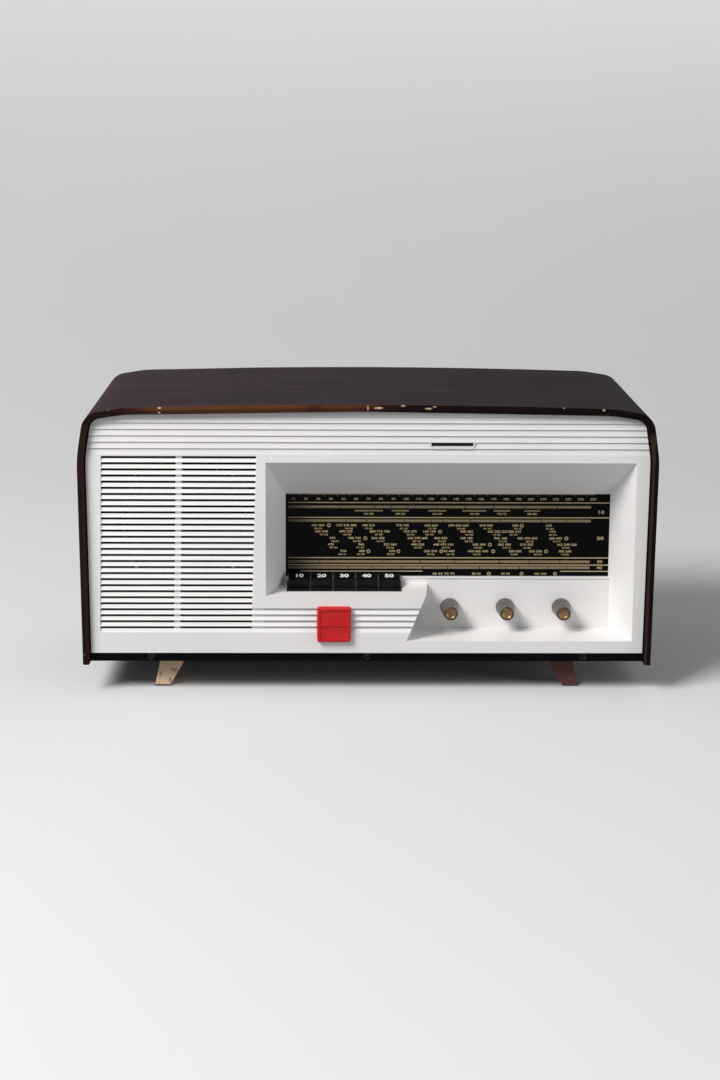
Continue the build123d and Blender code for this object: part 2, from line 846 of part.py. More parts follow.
def make_knob(x):
    """A tapered, fluted sleeve with a socket for the metal cap and a blind bore for the shaft."""
    z = up(knob_height)
    base_y = at(recess_depth - knob_panel_gap)
    tip_y = base_y - knob_length
    shank = turned_y([(0, tip_y), (knob_tip_radius - 0.6, tip_y), (knob_tip_radius, tip_y + 0.6),
                      (knob_base_radius, base_y), (0, base_y)], x, z)
    cuts = [rod_y(x, z, knob_cap_radius + 0.02, tip_y - 1, tip_y + knob_cap_depth),
            rod_y(x, z, shaft_radius + running_gap, knob_bore_end() - 0.5, base_y + 1)]
    groove_z = z + knob_base_radius + knob_flute_radius - knob_flute_depth
    groove = rod_y(x, groove_z, knob_flute_radius, tip_y - 2, base_y + 2)
    lean = math.degrees(math.atan2(knob_base_radius - knob_tip_radius, knob_length))
    groove = groove.rotate(Axis((x, base_y, z + knob_base_radius), (1, 0, 0)), lean)
    for index in range(knob_flutes):
        cuts.append(groove.rotate(Axis((x, 0, z), (0, 1, 0)), index * 360 / knob_flutes))
    return shank - cuts


def make_knob_cap(x):
    """The dished metal disc in a knob's end."""
    z = up(knob_height)
    tip_y = at(recess_depth - knob_panel_gap - knob_length)
    profile = [(0, tip_y + 1.2), (knob_cap_radius * 0.6, tip_y + 0.8), (knob_cap_radius - 0.5, tip_y),
               (knob_cap_radius, tip_y), (knob_cap_radius, tip_y + knob_cap_depth - 0.02),
               (0, tip_y + knob_cap_depth - 0.02)]
    return turned_y(profile, x, z)


pot_radius = 12.0
pot_depth = 13.0
bush_radius = 4.8
bush_length = 8.0


def make_shaft(x):
    """The shaft of a potentiometer, from inside its case to inside the knob."""
    return rod_y(x, up(knob_height), shaft_radius, knob_bore_end(),
                 chassis_front_y + chassis_sheet + pot_depth - 3.0)


def make_potentiometer(x):
    """A potentiometer behind the chassis front, its bush and nut in front, its lugs below."""
    z = up(knob_height)
    back = chassis_front_y + chassis_sheet + glue_gap
    case = rod_y(x, z, pot_radius, back, back + pot_depth)
    case += rod_y(x, z, bush_radius, chassis_front_y - bush_length, back + 1)
    nut = RegularPolygon(7.0, 6)
    nut = extrude(Plane(origin=(x, chassis_front_y - glue_gap, z), z_dir=(0, -1, 0)) * nut, 2.4)
    case += nut
    for offset_x in (-5.0, 0.0, 5.0):
        case += block((x + offset_x - 1, x + offset_x + 1), (back + 1.0, back + 2.0),
                      (z - pot_radius - 5.0, z - pot_radius + 1.0))
    case -= rod_y(x, z, shaft_radius + running_gap, chassis_front_y - bush_length - 1,
                  back + pot_depth - 2.5)
    return case


# Piano keys

def key_middle(index):
    return key_bank_left + key_pitch * (index + 0.5)


def make_key(index):
    """A piano key: dished thumb part, raised label face and the arm to its pivot."""
    x = key_middle(index)
    half = (key_pitch - key_gap) / 2
    front, crease, back = at(key_front_depth), at(key_crease_depth), at(key_back_depth)
    dish_middle = ((front + crease) / 2, up((key_front_height + key_crease_height) / 2) - key_dish)
    top = Line((front, up(key_foot_height)), (front, up(key_front_height)))
    top += ThreePointArc((front, up(key_front_height)), dish_middle, (crease, up(key_crease_height)))
    top += Polyline((crease, up(key_crease_height)), (crease + 0.6, up(key_crease_height + 1.2)),
                    (back, up(key_back_height)), (back, up(key_foot_height)),
                    (front, up(key_foot_height)))
    cap = extrude(Plane(origin=(x - half, 0, 0), x_dir=(0, 1, 0), z_dir=(1, 0, 0)) * make_face(top),
                  2 * half)
    cap = chamfer(cap.edges().filter_by(Axis.X).group_by(Axis.Z)[-1], 0.7)
    arm_span = (x - key_arm_width / 2, x + key_arm_width / 2)
    arm_z = (up(key_arm_top - key_arm_thickness), up(key_arm_top))
    arm = block(arm_span, (back - 2, at(key_pivot_depth + key_tail)), arm_z)
    arm -= rod_x(at(key_pivot_depth), up(key_pivot_height), key_pivot_radius + running_gap,
                 arm_span[0] - 1, arm_span[1] + 1)
    return cap + arm


key_cheek = 1.6
key_frame_foot = up(chassis_top)
key_frame_side = 1.2
key_frame_lap = 4.0


def make_key_frame():
    """The comb of cheeks on the chassis that carries the keys' pivot rod."""
    y_span = (at(key_pivot_depth) - 7.0, at(key_pivot_depth) + 8.0)
    left = key_bank_left - key_frame_lap
    right = key_bank_left + key_count * key_pitch + key_frame_lap
    frame = block((left, right), y_span, (key_frame_foot, key_frame_foot + key_frame_side))
    for index in range(key_count + 1):
        x = key_bank_left + index * key_pitch
        cheek = block((x - key_cheek / 2, x + key_cheek / 2), y_span,
                      (key_frame_foot, up(key_pivot_height) + 5.0))
        frame += cheek
    return frame - rod_x(at(key_pivot_depth), up(key_pivot_height), key_pivot_radius + 0.02,
                         left - 1, right + 1)


def make_key_pivot_rod():
    """The rod through all five keys."""
    return rod_x(at(key_pivot_depth), up(key_pivot_height), key_pivot_radius,
                 key_bank_left - 3.0, key_bank_left + key_count * key_pitch + 3.0)


switch_front_y = at(key_pivot_depth) + 14.0
switch_base = 3.0
switch_body_height = 13.0
switch_slider_height = 16.0
switch_body_half = 8.0
switch_slider_half = 3.0


def make_band_switch():
    """The row of slide switches behind the keys, as deep as the valves behind them allow."""
    y_high = valve_row_y - valve_socket_radius - transformer_space
    z_low = up(chassis_top)
    left = key_bank_left - key_frame_lap
    right = key_bank_left + key_count * key_pitch + key_frame_lap
    switch = block((left, right), (switch_front_y, y_high), (z_low, z_low + switch_base))
    body_z = (z_low + switch_base - 1.0, z_low + switch_body_height)
    slider_z = (z_low + switch_body_height - 1.0, z_low + switch_slider_height)
    for index in range(key_count):
        x = key_middle(index)
        switch += block((x - switch_body_half, x + switch_body_half), (switch_front_y, y_high - 2), body_z)
        switch += block((x - switch_slider_half, x + switch_slider_half),
                        (switch_front_y + 2, y_high - 6), slider_z)
    return switch


# Chassis

valve_row_y = chassis_rear_y - 24.0
valve_first_x = -60.0
valve_pitch = 35.0
valve_places = [(valve_first_x + index * valve_pitch, valve_row_y) for index in range(4)]
valve_radius = 10.5
valve_height = 54.0
valve_socket_radius = 12.0
valve_socket_height = 6.0
can_half = 11.0
can_height = 48.0
can_places = [(66.0, chassis_front_y + 17.0 + index * 26.0) for index in range(2)]
smoothing_place = (81.0, chassis_rear_y - 21.0)
smoothing_radius = 16.0
smoothing_height = 68.0


def make_chassis():
    """The folded steel chassis, open below, with its holes."""
    x_span = (chassis_left, chassis_right)
    y_span = (chassis_front_y, chassis_rear_y)
    chassis = block(x_span, y_span, (board_top, up(chassis_top)))
    inner_x = (chassis_left + chassis_sheet, chassis_right - chassis_sheet)
    inner_y = (chassis_front_y + chassis_sheet, chassis_rear_y - chassis_sheet)
    chassis -= block(inner_x, inner_y, (board_top + chassis_sheet, up(chassis_top - chassis_sheet)))
    gap_x = (chassis_left + chassis_flange, chassis_right - chassis_flange)
    chassis -= block(gap_x, inner_y, (board_top - 1, board_top + chassis_sheet + 1))
    holes = []
    z = up(knob_height)
    front = (chassis_front_y - 1, chassis_front_y + chassis_sheet + 1)
    for x in knob_x[:2]:
        holes.append(rod_y(x, z, bush_radius + running_gap, *front))
    chassis += rod_y(knob_x[2], z, 6.0, chassis_front_y - 5.0, chassis_front_y + chassis_sheet)
    holes.append(rod_y(knob_x[2], z, shaft_radius + running_gap, front[0] - 5, front[1]))
    top = (up(chassis_top - chassis_sheet) - 1, up(chassis_top) + 1)
    for x, y in valve_places:
        holes.append(rod_z(x, y, valve_socket_radius - 2.0, *top))
    for x, y in chassis_screw_places():
        holes.append(rod_z(x, y, screw_radius + screw_hole_gap, board_top - 1, board_top + 3))
    return chassis - holes


def make_valve_sockets():
    """Ring sockets riveted on the chassis, one under each valve, with a tail below."""
    solids = []
    low = up(chassis_top)
    for x, y in valve_places:
        socket = rod_z(x, y, valve_socket_radius, low, low + valve_socket_height)
        socket += rod_z(x, y, valve_socket_radius - 3.0, low - 10.0, low + 1.0)
        solids.append(socket - rod_z(x, y, 3.0, low - 11.0, low + valve_socket_height + 1.0))
    return solids


def make_valves():
    """Glass valves with their drawn tips, standing in the sockets."""
    solids = []
    low = up(chassis_top) + valve_socket_height
    for x, y in valve_places:
        top = low + valve_height
        profile = [(0, low), (valve_radius - 1, low), (valve_radius, low + 2), (valve_radius, top - 9),
                   (valve_radius - 4, top - 3), (2.0, top - 2), (0, top + 3)]
        solids.append(turned_z(profile, x, y))
    return solids


def make_cans():
    """The screened coil cans on the chassis."""
    solids = []
    low = up(chassis_top)
    for x, y in can_places:
        can = block((x - can_half, x + can_half), (y - can_half, y + can_half), (low, low + can_height))
        can = fillet(can.edges().filter_by(Axis.Z), 2.5)
        can -= rod_z(x, y, 3.0, low + can_height - 3.0, low + can_height + 1.0)
        solids.append(can)
    return solids


def make_smoothing_capacitor():
    """The smoothing capacitor's can on its mounting ring."""
    x, y = smoothing_place
    low = up(chassis_top)
    high = low + smoothing_height
    ring = smoothing_radius + 4.0
    profile = [(0, low), (ring, low), (ring, low + 2.0), (smoothing_radius, low + 2.0),
               (smoothing_radius, high - 2.0), (smoothing_radius - 2.0, high), (0, high)]
    return turned_z(profile, x, y)


def make_transformer(x_span, y_span, height, limb):
    """A laminated core with its bobbin through the middle, standing on the chassis."""
    low = up(chassis_top)
    middle_y = sum(y_span) / 2
    core_y = (middle_y - limb, middle_y + limb)
    core = block(x_span, core_y, (low, low + height))
    window = (x_span[1] - x_span[0]) / 6
    coil = block((x_span[0] + window, x_span[1] - window), y_span, (low + window, low + height - window))
    coil = fillet(coil.edges().filter_by(Axis.Z), 3.0)
    return core + coil


mains_transformer_x = (chassis_right - 66.0, chassis_right - 6.0)
mains_transformer_y = (chassis_rear_y - 72.0, chassis_rear_y - 12.0)
mains_transformer_height = 52.0
mains_transformer_limb = 16.0
output_transformer_x = (chassis_left + 4.0, chassis_left + 40.0)
output_transformer_height = 30.0
output_transformer_limb = 4.0
transformer_space = 13.0    # between the switch bank and the valve sockets
output_transformer_rear_y = valve_row_y - valve_socket_radius - 1.0
output_transformer_y = (output_transformer_rear_y - transformer_space, output_transformer_rear_y)


gang_x_half = 28.0
gang_front_y = chassis_front_y + 6.0
gang_length = 66.0
gang_wall = 2.0
gang_foot = 4.0
gang_height = 50.0
plate_count = 6
plate_sheet = 0.8
plate_pitch = 4.0
rotor_radius = 19.0
section_starts = (8.0, 37.0)


def plate_y(start, index):
    return gang_front_y + start + index * plate_pitch


def make_tuning_capacitor():
    """The twin capacitor's frame and its fixed plates, open on the side the rotor turns out to."""
    z_low = up(chassis_top) + gang_foot
    z = up(drum_height)
    y_span = (gang_front_y, gang_front_y + gang_length)
    x_span = (drum_x - gang_x_half, drum_x + gang_x_half)
    frame = block(x_span, y_span, (z_low, z_low + gang_wall))
    for y in (y_span[0], gang_front_y + section_starts[1] - 4.5, y_span[1] - gang_wall):
        frame += block(x_span, (y, y + gang_wall), (z_low, z_low + gang_height))
    for start in section_starts:
        for index in range(plate_count):
            y = plate_y(start, index) - plate_pitch / 2
            plate = block((x_span[0] + 4, drum_x - shaft_radius - 2.5), (y, y + plate_sheet),
                          (z - rotor_radius + 2, z + rotor_radius - 2))
            frame += plate
    for bar_z in (z - 13.0, z + 13.0):
        frame += block((x_span[0] + 3, x_span[0] + 6), (y_span[0], y_span[1]), (bar_z - 2, bar_z + 2))
    for x in (x_span[0] + 6, x_span[1] - 6):
        for y in (y_span[0] + 6, y_span[1] - 6):
            frame += rod_z(x, y, 3.0, up(chassis_top), z_low + 0.5)
    reduction_y = at(drum_depth) + drum_width + drum_hub + 0.3
    frame += rod_y(drum_x, z, reduction_radius, reduction_y, y_span[0] + 1)
    return frame - rod_y(drum_x, z, shaft_radius + running_gap, at(drum_depth), y_span[1] + 1)


def make_rotor():
    """The capacitor's spindle with its half-round plates, turned fully into the fixed plates."""
    z = up(drum_height)
    rotor = rod_y(drum_x, z, shaft_radius, at(drum_depth) + 0.5, gang_front_y + gang_length + 3.0)
    half = block((drum_x - rotor_radius - 1, drum_x), (gang_front_y, gang_front_y + gang_length),
                 (z - rotor_radius - 1, z + rotor_radius + 1))
    for start in section_starts:
        for index in range(plate_count - 1):
            y = plate_y(start, index)
            rotor += rod_y(drum_x, z, rotor_radius, y, y + plate_sheet) & half
    return rotor


# Loudspeaker

speaker_front = bezel_skirt_depth + glue_gap + baffle_thickness


def make_baffle():
    """The board behind the grille that carries the loudspeaker."""
    x_span = (batten_width - wall_x(up(baffle_foot)) + baffle_side_gap, recess_left - recess_wall - 2.0)
    y_span = (at(speaker_front - baffle_thickness), at(speaker_front))
    board = block(x_span, y_span, (up(baffle_foot), up(baffle_head)))
    holes = [rod_y(speaker_x, up(speaker_height), speaker_opening_radius, y_span[0] - 1, y_span[1] + 1)]
    for x in baffle_boss_x:
        for height in baffle_boss_height:
            holes.append(rod_y(x, up(height), screw_radius + screw_hole_gap, y_span[0] - 1, y_span[1] + 1))
    for x, z in speaker_screw_places():
        holes.append(rod_y(x, z, screw_radius + screw_hole_gap, y_span[0] - 1, y_span[1] + 1))
    return board - holes


def speaker_screw_places():
    ring = speaker_radius - 4.2
    angles = [math.radians(45 + 90 * index) for index in range(4)]
    return [(speaker_x + ring * math.cos(a), up(speaker_height) + ring * math.sin(a)) for a in angles]


def make_speaker_screws():
    """Four screws hold the loudspeaker, four hold its board."""
    solids = []
    for x, z in speaker_screw_places():
        solids.append(screw(x, at(speaker_front + speaker_sheet), z, "y", -1, baffle_thickness))
    for x in baffle_boss_x:
        for height in baffle_boss_height:
            solids.append(screw(x, at(speaker_front), up(height), "y", -1, baffle_thickness + 4.0))
    return solids


def make_basket():
    """The pressed steel basket with its windows."""
    y0 = at(speaker_front)
    y1 = y0 + speaker_basket_depth
    t = speaker_sheet
    z = up(speaker_height)
    neck = speaker_neck_radius + 4
    hole = voice_coil_radius + 4
    wall = speaker_opening_radius - 3
    profile = [(speaker_opening_radius, y0), (speaker_radius, y0), (speaker_radius, y0 + t),
               (speaker_opening_radius + t, y0 + t), (wall, y0 + 9), (neck, y1), (neck, y1 + t),
               (hole, y1 + t), (hole, y1), (neck - 2, y1), (wall - 1.6 * t, y0 + 9)]
    basket = turned_y(profile, speaker_x, z)
    cuts = []
    for index in range(6):
        window = block((speaker_x - 11, speaker_x + 11), (y0 + 10.5, y1 - 4), (z + 20, z + 70))
        cuts.append(window.rotate(Axis((speaker_x, 0, z), (0, 1, 0)), 60 * index))
    for x, hole_z in speaker_screw_places():
        cuts.append(rod_y(x, hole_z, screw_radius + screw_hole_gap, y0 - 1, y0 + t + 1))
    return basket - cuts


def make_magnet():
    """The magnet pot on the back of the basket, with the ring gap for the voice coil."""
    y0 = at(speaker_front) + speaker_basket_depth + speaker_sheet
    z = up(speaker_height)
    y1 = y0 + magnet_depth
    pot = turned_y([(0, y0), (magnet_radius - 4, y0), (magnet_radius - 4, y0 + 5),
                    (magnet_radius, y0 + 5), (magnet_radius, y1 - 3), (magnet_radius - 3, y1),
                    (0, y1)], speaker_x, z)
    outer = voice_coil_radius + coil_gap
    inner = voice_coil_radius - voice_coil_wall - coil_gap
    ring = [(inner, y0 - 1), (outer, y0 - 1), (outer, y0 + 12), (inner, y0 + 12)]
    return pot - turned_y(ring, speaker_x, z)


def make_cone():
    """The paper cone with its rolled edge, dust cap and voice coil."""
    y0 = at(speaker_front) + speaker_sheet + 0.8
    z = up(speaker_height)
    rim = speaker_opening_radius - 2.6
    neck = y0 + speaker_basket_depth - 12.0
    coil_end = at(speaker_front) + speaker_basket_depth + speaker_sheet + 8.0
    inner = voice_coil_radius - voice_coil_wall
    profile = [(rim, y0), (rim, y0 + cone_wall), (rim - 4, y0 + cone_wall + 0.4),
               (voice_coil_radius, neck + cone_wall), (voice_coil_radius, coil_end), (inner, coil_end),
               (inner, neck - 1.0), (inner - 5.5, neck - 4.4), (0, neck - 5.6), (0, neck - 6.4),
               (inner - 4, neck - 5.4), (inner + 1.2, neck - 2.2), (rim - 5, y0 + 0.2),
               (rim - 2.5, y0 - 1.2)]
    return turned_y(profile, speaker_x, z)


# Tuning indicator, aerial rod and back

def make_indicator_tube():
    """The tuning indicator, a small glass valve lying behind its slot."""
    middle = (window_left + window_right) / 2
    low = middle - indicator_length / 2
    high = middle + indicator_length / 2
    y = at(indicator_depth)
    tube = rod_x(y, indicator_z(), indicator_radius, low + 6, high)
    tube = fillet(tube.edges().group_by(Axis.X)[0], 4.0)
    return tube + rod_x(y, indicator_z(), 2.0, low, low + 7)


def make_indicator_holder():
    """The sheet bracket that presses the indicator against the moulding, on two bosses."""
    left, right = indicator_boss_x()
    z = indicator_z()
    low = at(indicator_plate_depth)
    plate = block((left - 6, right + 6), (low, low + indicator_plate_thickness), (z - 8, z + 8))
    hole = screw_radius + screw_hole_gap
    for x in (left, right):
        plate -= rod_y(x, z, hole, low - 1, low + 3)
    return plate


aerial_y = back_panel_y - 50.3
aerial_height = recess_head + 20.0
aerial_radius = 5.0
aerial_span = (-62.0, 118.0)
aerial_clamp_x = (-48.0, 104.0)
aerial_clamp_half = 5.0


def make_ferrite_aerial():
    """The ferrite rod with its two coils."""
    z = up(aerial_height)
    rod = rod_x(aerial_y, z, aerial_radius, *aerial_span)
    for x in (-20.0, 66.0):
        rod += rod_x(aerial_y, z, aerial_radius + 2.0, x - 14, x + 14)
    return rod


def make_aerial_clamps():
    """Two clamps that hang the ferrite rod under the cabinet's top."""
    solids = []
    z = up(aerial_height)
    y_span = (aerial_y - 9.0, aerial_y + 9.0)
    for x in aerial_clamp_x:
        clamp = cabinet_slab(shell_wall + glue_gap, board_top, *y_span)
        clamp &= block((x - aerial_clamp_half, x + aerial_clamp_half), y_span, (z - 9.0, crown_height))
        solids.append(clamp - rod_x(aerial_y, z, aerial_radius + 0.02, x - 10, x + 10))
    return solids


grommet_side_margin = 54.0
grommet_x = half_width - grommet_side_margin
grommet_height = 22.0
grommet_radius = 6.0
grommet_hole = 3.4
socket_groups = ((-50.0, -38.0), (34.0, 46.0, 58.0, 70.0))
socket_half = 5.7
socket_low = 14.0
socket_high = 28.0
socket_depth = 6.0
socket_floor = 1.0
socket_hole_radius = 2.1
socket_window_gap = 2.3


def make_back_panel():
    """The perforated board that closes the back, with openings for sockets and cord gland."""
    y_span = (back_panel_y, back_panel_y + back_panel_thickness)
    panel = cabinet_slab(shell_wall + back_panel_gap, up(0.3), *y_span)
    through = (y_span[0] - 1, y_span[1] + 1)
    cuts = []
    for column in back_slot_columns:
        for row in range(back_slot_rows):
            z = up(back_slot_foot + row * back_slot_pitch)
            cuts.append(block((column - back_slot_length / 2, column + back_slot_length / 2), through,
                              (z, z + back_slot_height)))
    reach = socket_half + socket_window_gap
    for group in socket_groups:
        cuts.append(block((group[0] - reach, group[-1] + reach), through,
                          (up(socket_low - socket_window_gap), up(socket_high + socket_window_gap))))
    cuts.append(rod_y(grommet_x, up(grommet_height), grommet_radius, *through))
    for x, z in back_screw_places():
        cuts.append(rod_y(x, z, screw_radius + screw_hole_gap, *through))
    return panel - cuts


back_screw_length = back_panel_thickness + 9.0


def make_back_screws():
    """The screws that hold the back panel on its battens."""
    y = back_panel_y + back_panel_thickness
    return [screw(x, y, z, "y", -1, back_screw_length) for x, z in back_screw_places()]


def make_rear_sockets():
    """Moulded plug sockets side by side on the back of the chassis, open through the back panel."""
    solids = []
    rear_y = chassis_rear_y + socket_depth
    z_span = (up(socket_low), up(socket_high))
    for x in socket_groups[0] + socket_groups[1]:
        body = block((x - socket_half, x + socket_half), (chassis_rear_y, rear_y), z_span)
        hole = rod_y(x, sum(z_span) / 2, socket_hole_radius, chassis_rear_y + socket_floor, rear_y + 1)
        solids.append(body - hole)
    return solids


def make_grommet():
    """The rubber ring in the back panel where a mains cord would leave."""
    low = back_panel_y
    high = back_panel_y + back_panel_thickness
    lip = grommet_radius + 2.0
    neck = grommet_radius - 0.1
    profile = [(grommet_hole, low - 1.5), (lip, low - 1.5), (lip, low - 0.1), (neck, low - 0.1),
               (neck, high + 0.1), (lip, high + 0.1), (lip, high + 1.5), (grommet_hole, high + 1.5)]
    return turned_y(profile, grommet_x, up(grommet_height))


nodes = {
    "cabinet_shell": make_cabinet_shell(),
    "bottom_board": make_bottom_board(),
    "cabinet_battens": make_battens(),
    "leg_front_left": make_leg(-1, -1),
    "leg_front_right": make_leg(1, -1),
    "leg_rear_left": make_leg(-1, 1),
    "leg_rear_right": make_leg(1, 1),
    "wood_screws": make_wood_screws(),
    "plinth_screws": make_plinth_screws(),
    "front_bezel": make_front_bezel(),
    "front_badge": make_badge(),
    "dial_glass": make_dial_glass(),
    "dial_reflector": make_reflector(),
    "pointer_rail": make_pointer_rail(),
    "dial_pointer": make_pointer(),
    "dial_lamps": make_dial_lamps(),
    "drive_drum": make_drum(),
    "cord_pulley_left": make_pulley(pulley_x()[0]),
    "cord_pulley_right": make_pulley(pulley_x()[1]),
    "tuning_shaft": make_tuning_shaft(),
    "volume_shaft": make_shaft(knob_x[0]),
    "tone_shaft": make_shaft(knob_x[1]),
    "volume_potentiometer": make_potentiometer(knob_x[0]),
    "tone_potentiometer": make_potentiometer(knob_x[1]),
    "key_frame": make_key_frame(),
    "key_pivot_rod": make_key_pivot_rod(),
    "band_switch": make_band_switch(),
    "chassis": make_chassis(),
    "valve_sockets": make_valve_sockets(),
    "valves": make_valves(),
    "coil_cans": make_cans(),
    "smoothing_capacitor": make_smoothing_capacitor(),
    "mains_transformer": make_transformer(mains_transformer_x, mains_transformer_y,
                                          mains_transformer_height, mains_transformer_limb),
    "output_transformer": make_transformer(output_transformer_x, output_transformer_y,
                                           output_transformer_height, output_transformer_limb),
    "tuning_capacitor": make_tuning_capacitor(),
    "capacitor_rotor": make_rotor(),
    "baffle_board": make_baffle(),
    "speaker_basket": make_basket(),
    "speaker_magnet": make_magnet(),
    "speaker_cone": make_cone(),
    "speaker_screws": make_speaker_screws(),
    "indicator_tube": make_indicator_tube(),
    "indicator_holder": make_indicator_holder(),
    "ferrite_aerial": make_ferrite_aerial(),
    "aerial_clamps": make_aerial_clamps(),
    "back_panel": make_back_panel(),
    "back_screws": make_back_screws(),
    "rear_sockets": make_rear_sockets(),
    "cord_grommet": make_grommet(),
}
for name, x in zip(("volume", "tone", "tuning"), knob_x):
    nodes[name + "_knob"] = make_knob(x)
    nodes[name + "_knob_cap"] = make_knob_cap(x)
for index in range(key_count):
    nodes["key_%d" % (index + 1)] = make_key(index)

os.makedirs("parts", exist_ok=True)
for name, shape in nodes.items():
    if isinstance(shape, (list, tuple)):
        shape = Compound(children=list(shape))
    export_step(shape, "parts/%s.step" % name)
    print(name, "written")
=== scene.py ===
# %% [markdown]
# A table radio, dressed for the camera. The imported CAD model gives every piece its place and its
# motion. This script adds the finishes, the small moulded pieces that the camera comes close to,
# the printed dial, the lights and the camera. Lengths are in metres.

# %% The frame
import bpy
import bmesh
import json
import math
import numpy as np
from mathutils import Matrix, Vector


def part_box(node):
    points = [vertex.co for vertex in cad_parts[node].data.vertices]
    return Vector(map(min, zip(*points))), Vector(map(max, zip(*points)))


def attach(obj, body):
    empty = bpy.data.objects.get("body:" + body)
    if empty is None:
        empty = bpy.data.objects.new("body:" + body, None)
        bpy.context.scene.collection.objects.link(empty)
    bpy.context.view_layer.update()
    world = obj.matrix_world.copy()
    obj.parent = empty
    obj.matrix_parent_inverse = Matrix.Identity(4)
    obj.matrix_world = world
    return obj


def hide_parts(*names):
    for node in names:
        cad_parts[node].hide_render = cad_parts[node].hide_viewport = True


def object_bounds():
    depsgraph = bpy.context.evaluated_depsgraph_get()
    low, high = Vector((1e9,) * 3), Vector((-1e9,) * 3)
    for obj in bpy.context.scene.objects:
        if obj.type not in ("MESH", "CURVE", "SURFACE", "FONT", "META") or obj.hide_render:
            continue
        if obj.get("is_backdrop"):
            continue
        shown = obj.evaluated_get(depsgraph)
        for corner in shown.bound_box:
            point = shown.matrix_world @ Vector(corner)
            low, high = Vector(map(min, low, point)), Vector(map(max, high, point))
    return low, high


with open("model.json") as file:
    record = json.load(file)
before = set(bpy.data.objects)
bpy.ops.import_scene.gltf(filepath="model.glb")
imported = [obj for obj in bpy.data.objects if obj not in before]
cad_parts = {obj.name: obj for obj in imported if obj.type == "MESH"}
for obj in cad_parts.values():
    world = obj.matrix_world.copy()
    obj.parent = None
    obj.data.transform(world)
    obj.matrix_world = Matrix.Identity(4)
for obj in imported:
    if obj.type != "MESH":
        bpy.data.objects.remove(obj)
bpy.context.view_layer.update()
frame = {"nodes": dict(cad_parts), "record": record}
scene = bpy.context.scene
MM = 0.001

# %% [markdown]
# The camera comes first, because every piece is judged through it. It looks nine degrees down, at
# a point above the picture's middle, as in a cropped picture, so the lens is shifted.

# %% Camera
IMAGE_WIDTH, IMAGE_HEIGHT = 720, 1080
FOCAL_PIXELS = 1798.9
AXIS_PIXEL = (358.0, 363.0)  # the point that the lens looks at
PITCH, YAW, ROLL = (math.radians(a) for a in (9.04, 0.91, 0.33))
EYE = Vector((-33.7, -1611.8, 534.0)) * MM
SENSOR = 36.0  # the picture's long side
SIGHT = 50  # how far the camera sees

lens = bpy.data.cameras.new("front_view")
lens.sensor_width = SENSOR
lens.lens = FOCAL_PIXELS / IMAGE_HEIGHT * SENSOR
lens.shift_x = (IMAGE_WIDTH / 2 - AXIS_PIXEL[0]) / IMAGE_HEIGHT
lens.shift_y = (AXIS_PIXEL[1] - IMAGE_HEIGHT / 2) / IMAGE_HEIGHT
lens.clip_end = SIGHT
camera = bpy.data.objects.new("front_view", lens)
camera.matrix_world = (Matrix.Translation(EYE) @ Matrix.Rotation(-YAW, 4, "Z")
                       @ Matrix.Rotation(math.pi / 2 - PITCH, 4, "X")
                       @ Matrix.Rotation(ROLL, 4, "Z"))
scene.collection.objects.link(camera)
scene.camera = camera
print("lens", round(lens.lens, 2), "mm")

# %% [markdown]
# Three square lamps give soft light. The key lamp, high on the left, gives the shapes their shade.
# The fill lamp lifts the walls that face away from it, and the back lamp puts a sheen on the top.

# %% Light
scene.view_settings.view_transform = "Standard"
LAMP_DISTANCE = 3.4


def soft_box(name, direction, size, energy, colour):
    """A square lamp that looks at the radio's foot from a direction."""
    direction = Vector(direction).normalized()
    lamp = bpy.data.lights.new(name, "AREA")
    lamp.size = size
    lamp.energy = energy
    lamp.color = colour
    holder = bpy.data.objects.new(name, lamp)
    holder.location = direction * LAMP_DISTANCE
    holder.rotation_euler = direction.to_track_quat("Z", "Y").to_euler()
    scene.collection.objects.link(holder)
    print(name, energy, "W")


soft_box("key_lamp", (-0.51, -0.46, 0.68), 1.35, 119, (1.0, 0.985, 0.965))
soft_box("fill_lamp", (0.93, -0.34, 0.22), 1.1, 20, (1.0, 0.98, 0.96))
soft_box("back_lamp", (0.38, 0.62, 0.68), 2.0, 8, (1.0, 0.99, 0.98))

# %% [markdown]
# Shader maths reads best as plain arithmetic. A small class wraps one socket, so that an
# expression on it adds the Math nodes. Two more make every other node of a tree and a material.

# %% Shader helpers
MIX_FACTOR, MIX_FIRST, MIX_SECOND = 0, 6, 7  # inputs of a colour Mix node
MIX_RESULT = 2
ATTRIBUTE_FACTOR = 2  # output of an Attribute node as one number


def math_method(operation):
    """A method that puts its own value, and any others, into a Math node."""
    return lambda value, *others: value.nodes.maths(operation, value, *others)


class Value:
    """One socket of a node tree. Arithmetic on it adds Math nodes."""

    def __init__(self, nodes, socket):
        self.nodes = nodes
        self.socket = socket

    def __rsub__(self, other):
        return self.nodes.maths("SUBTRACT", other, self)

    __add__ = __radd__ = math_method("ADD")
    __sub__ = math_method("SUBTRACT")
    __mul__ = __rmul__ = math_method("MULTIPLY")
    __truediv__ = math_method("DIVIDE")
    __abs__ = math_method("ABSOLUTE")
    power = math_method("POWER")
    most = math_method("MAXIMUM")
    fraction = math_method("FRACT")

    def between(self, low, high):
        """0 up to low, 1 from high and a smooth ramp between; low may be the greater."""
        values = {"Value": self, "From Min": low, "From Max": high}
        return self.nodes.node("MapRange", {"interpolation_type": "SMOOTHSTEP"}, values)

    def within(self, low, high, soft):
        """1 from low to high and 0 outside, with a ramp of twice soft across each limit."""
        return self.between(low - soft, low + soft) * self.between(high + soft, high - soft)


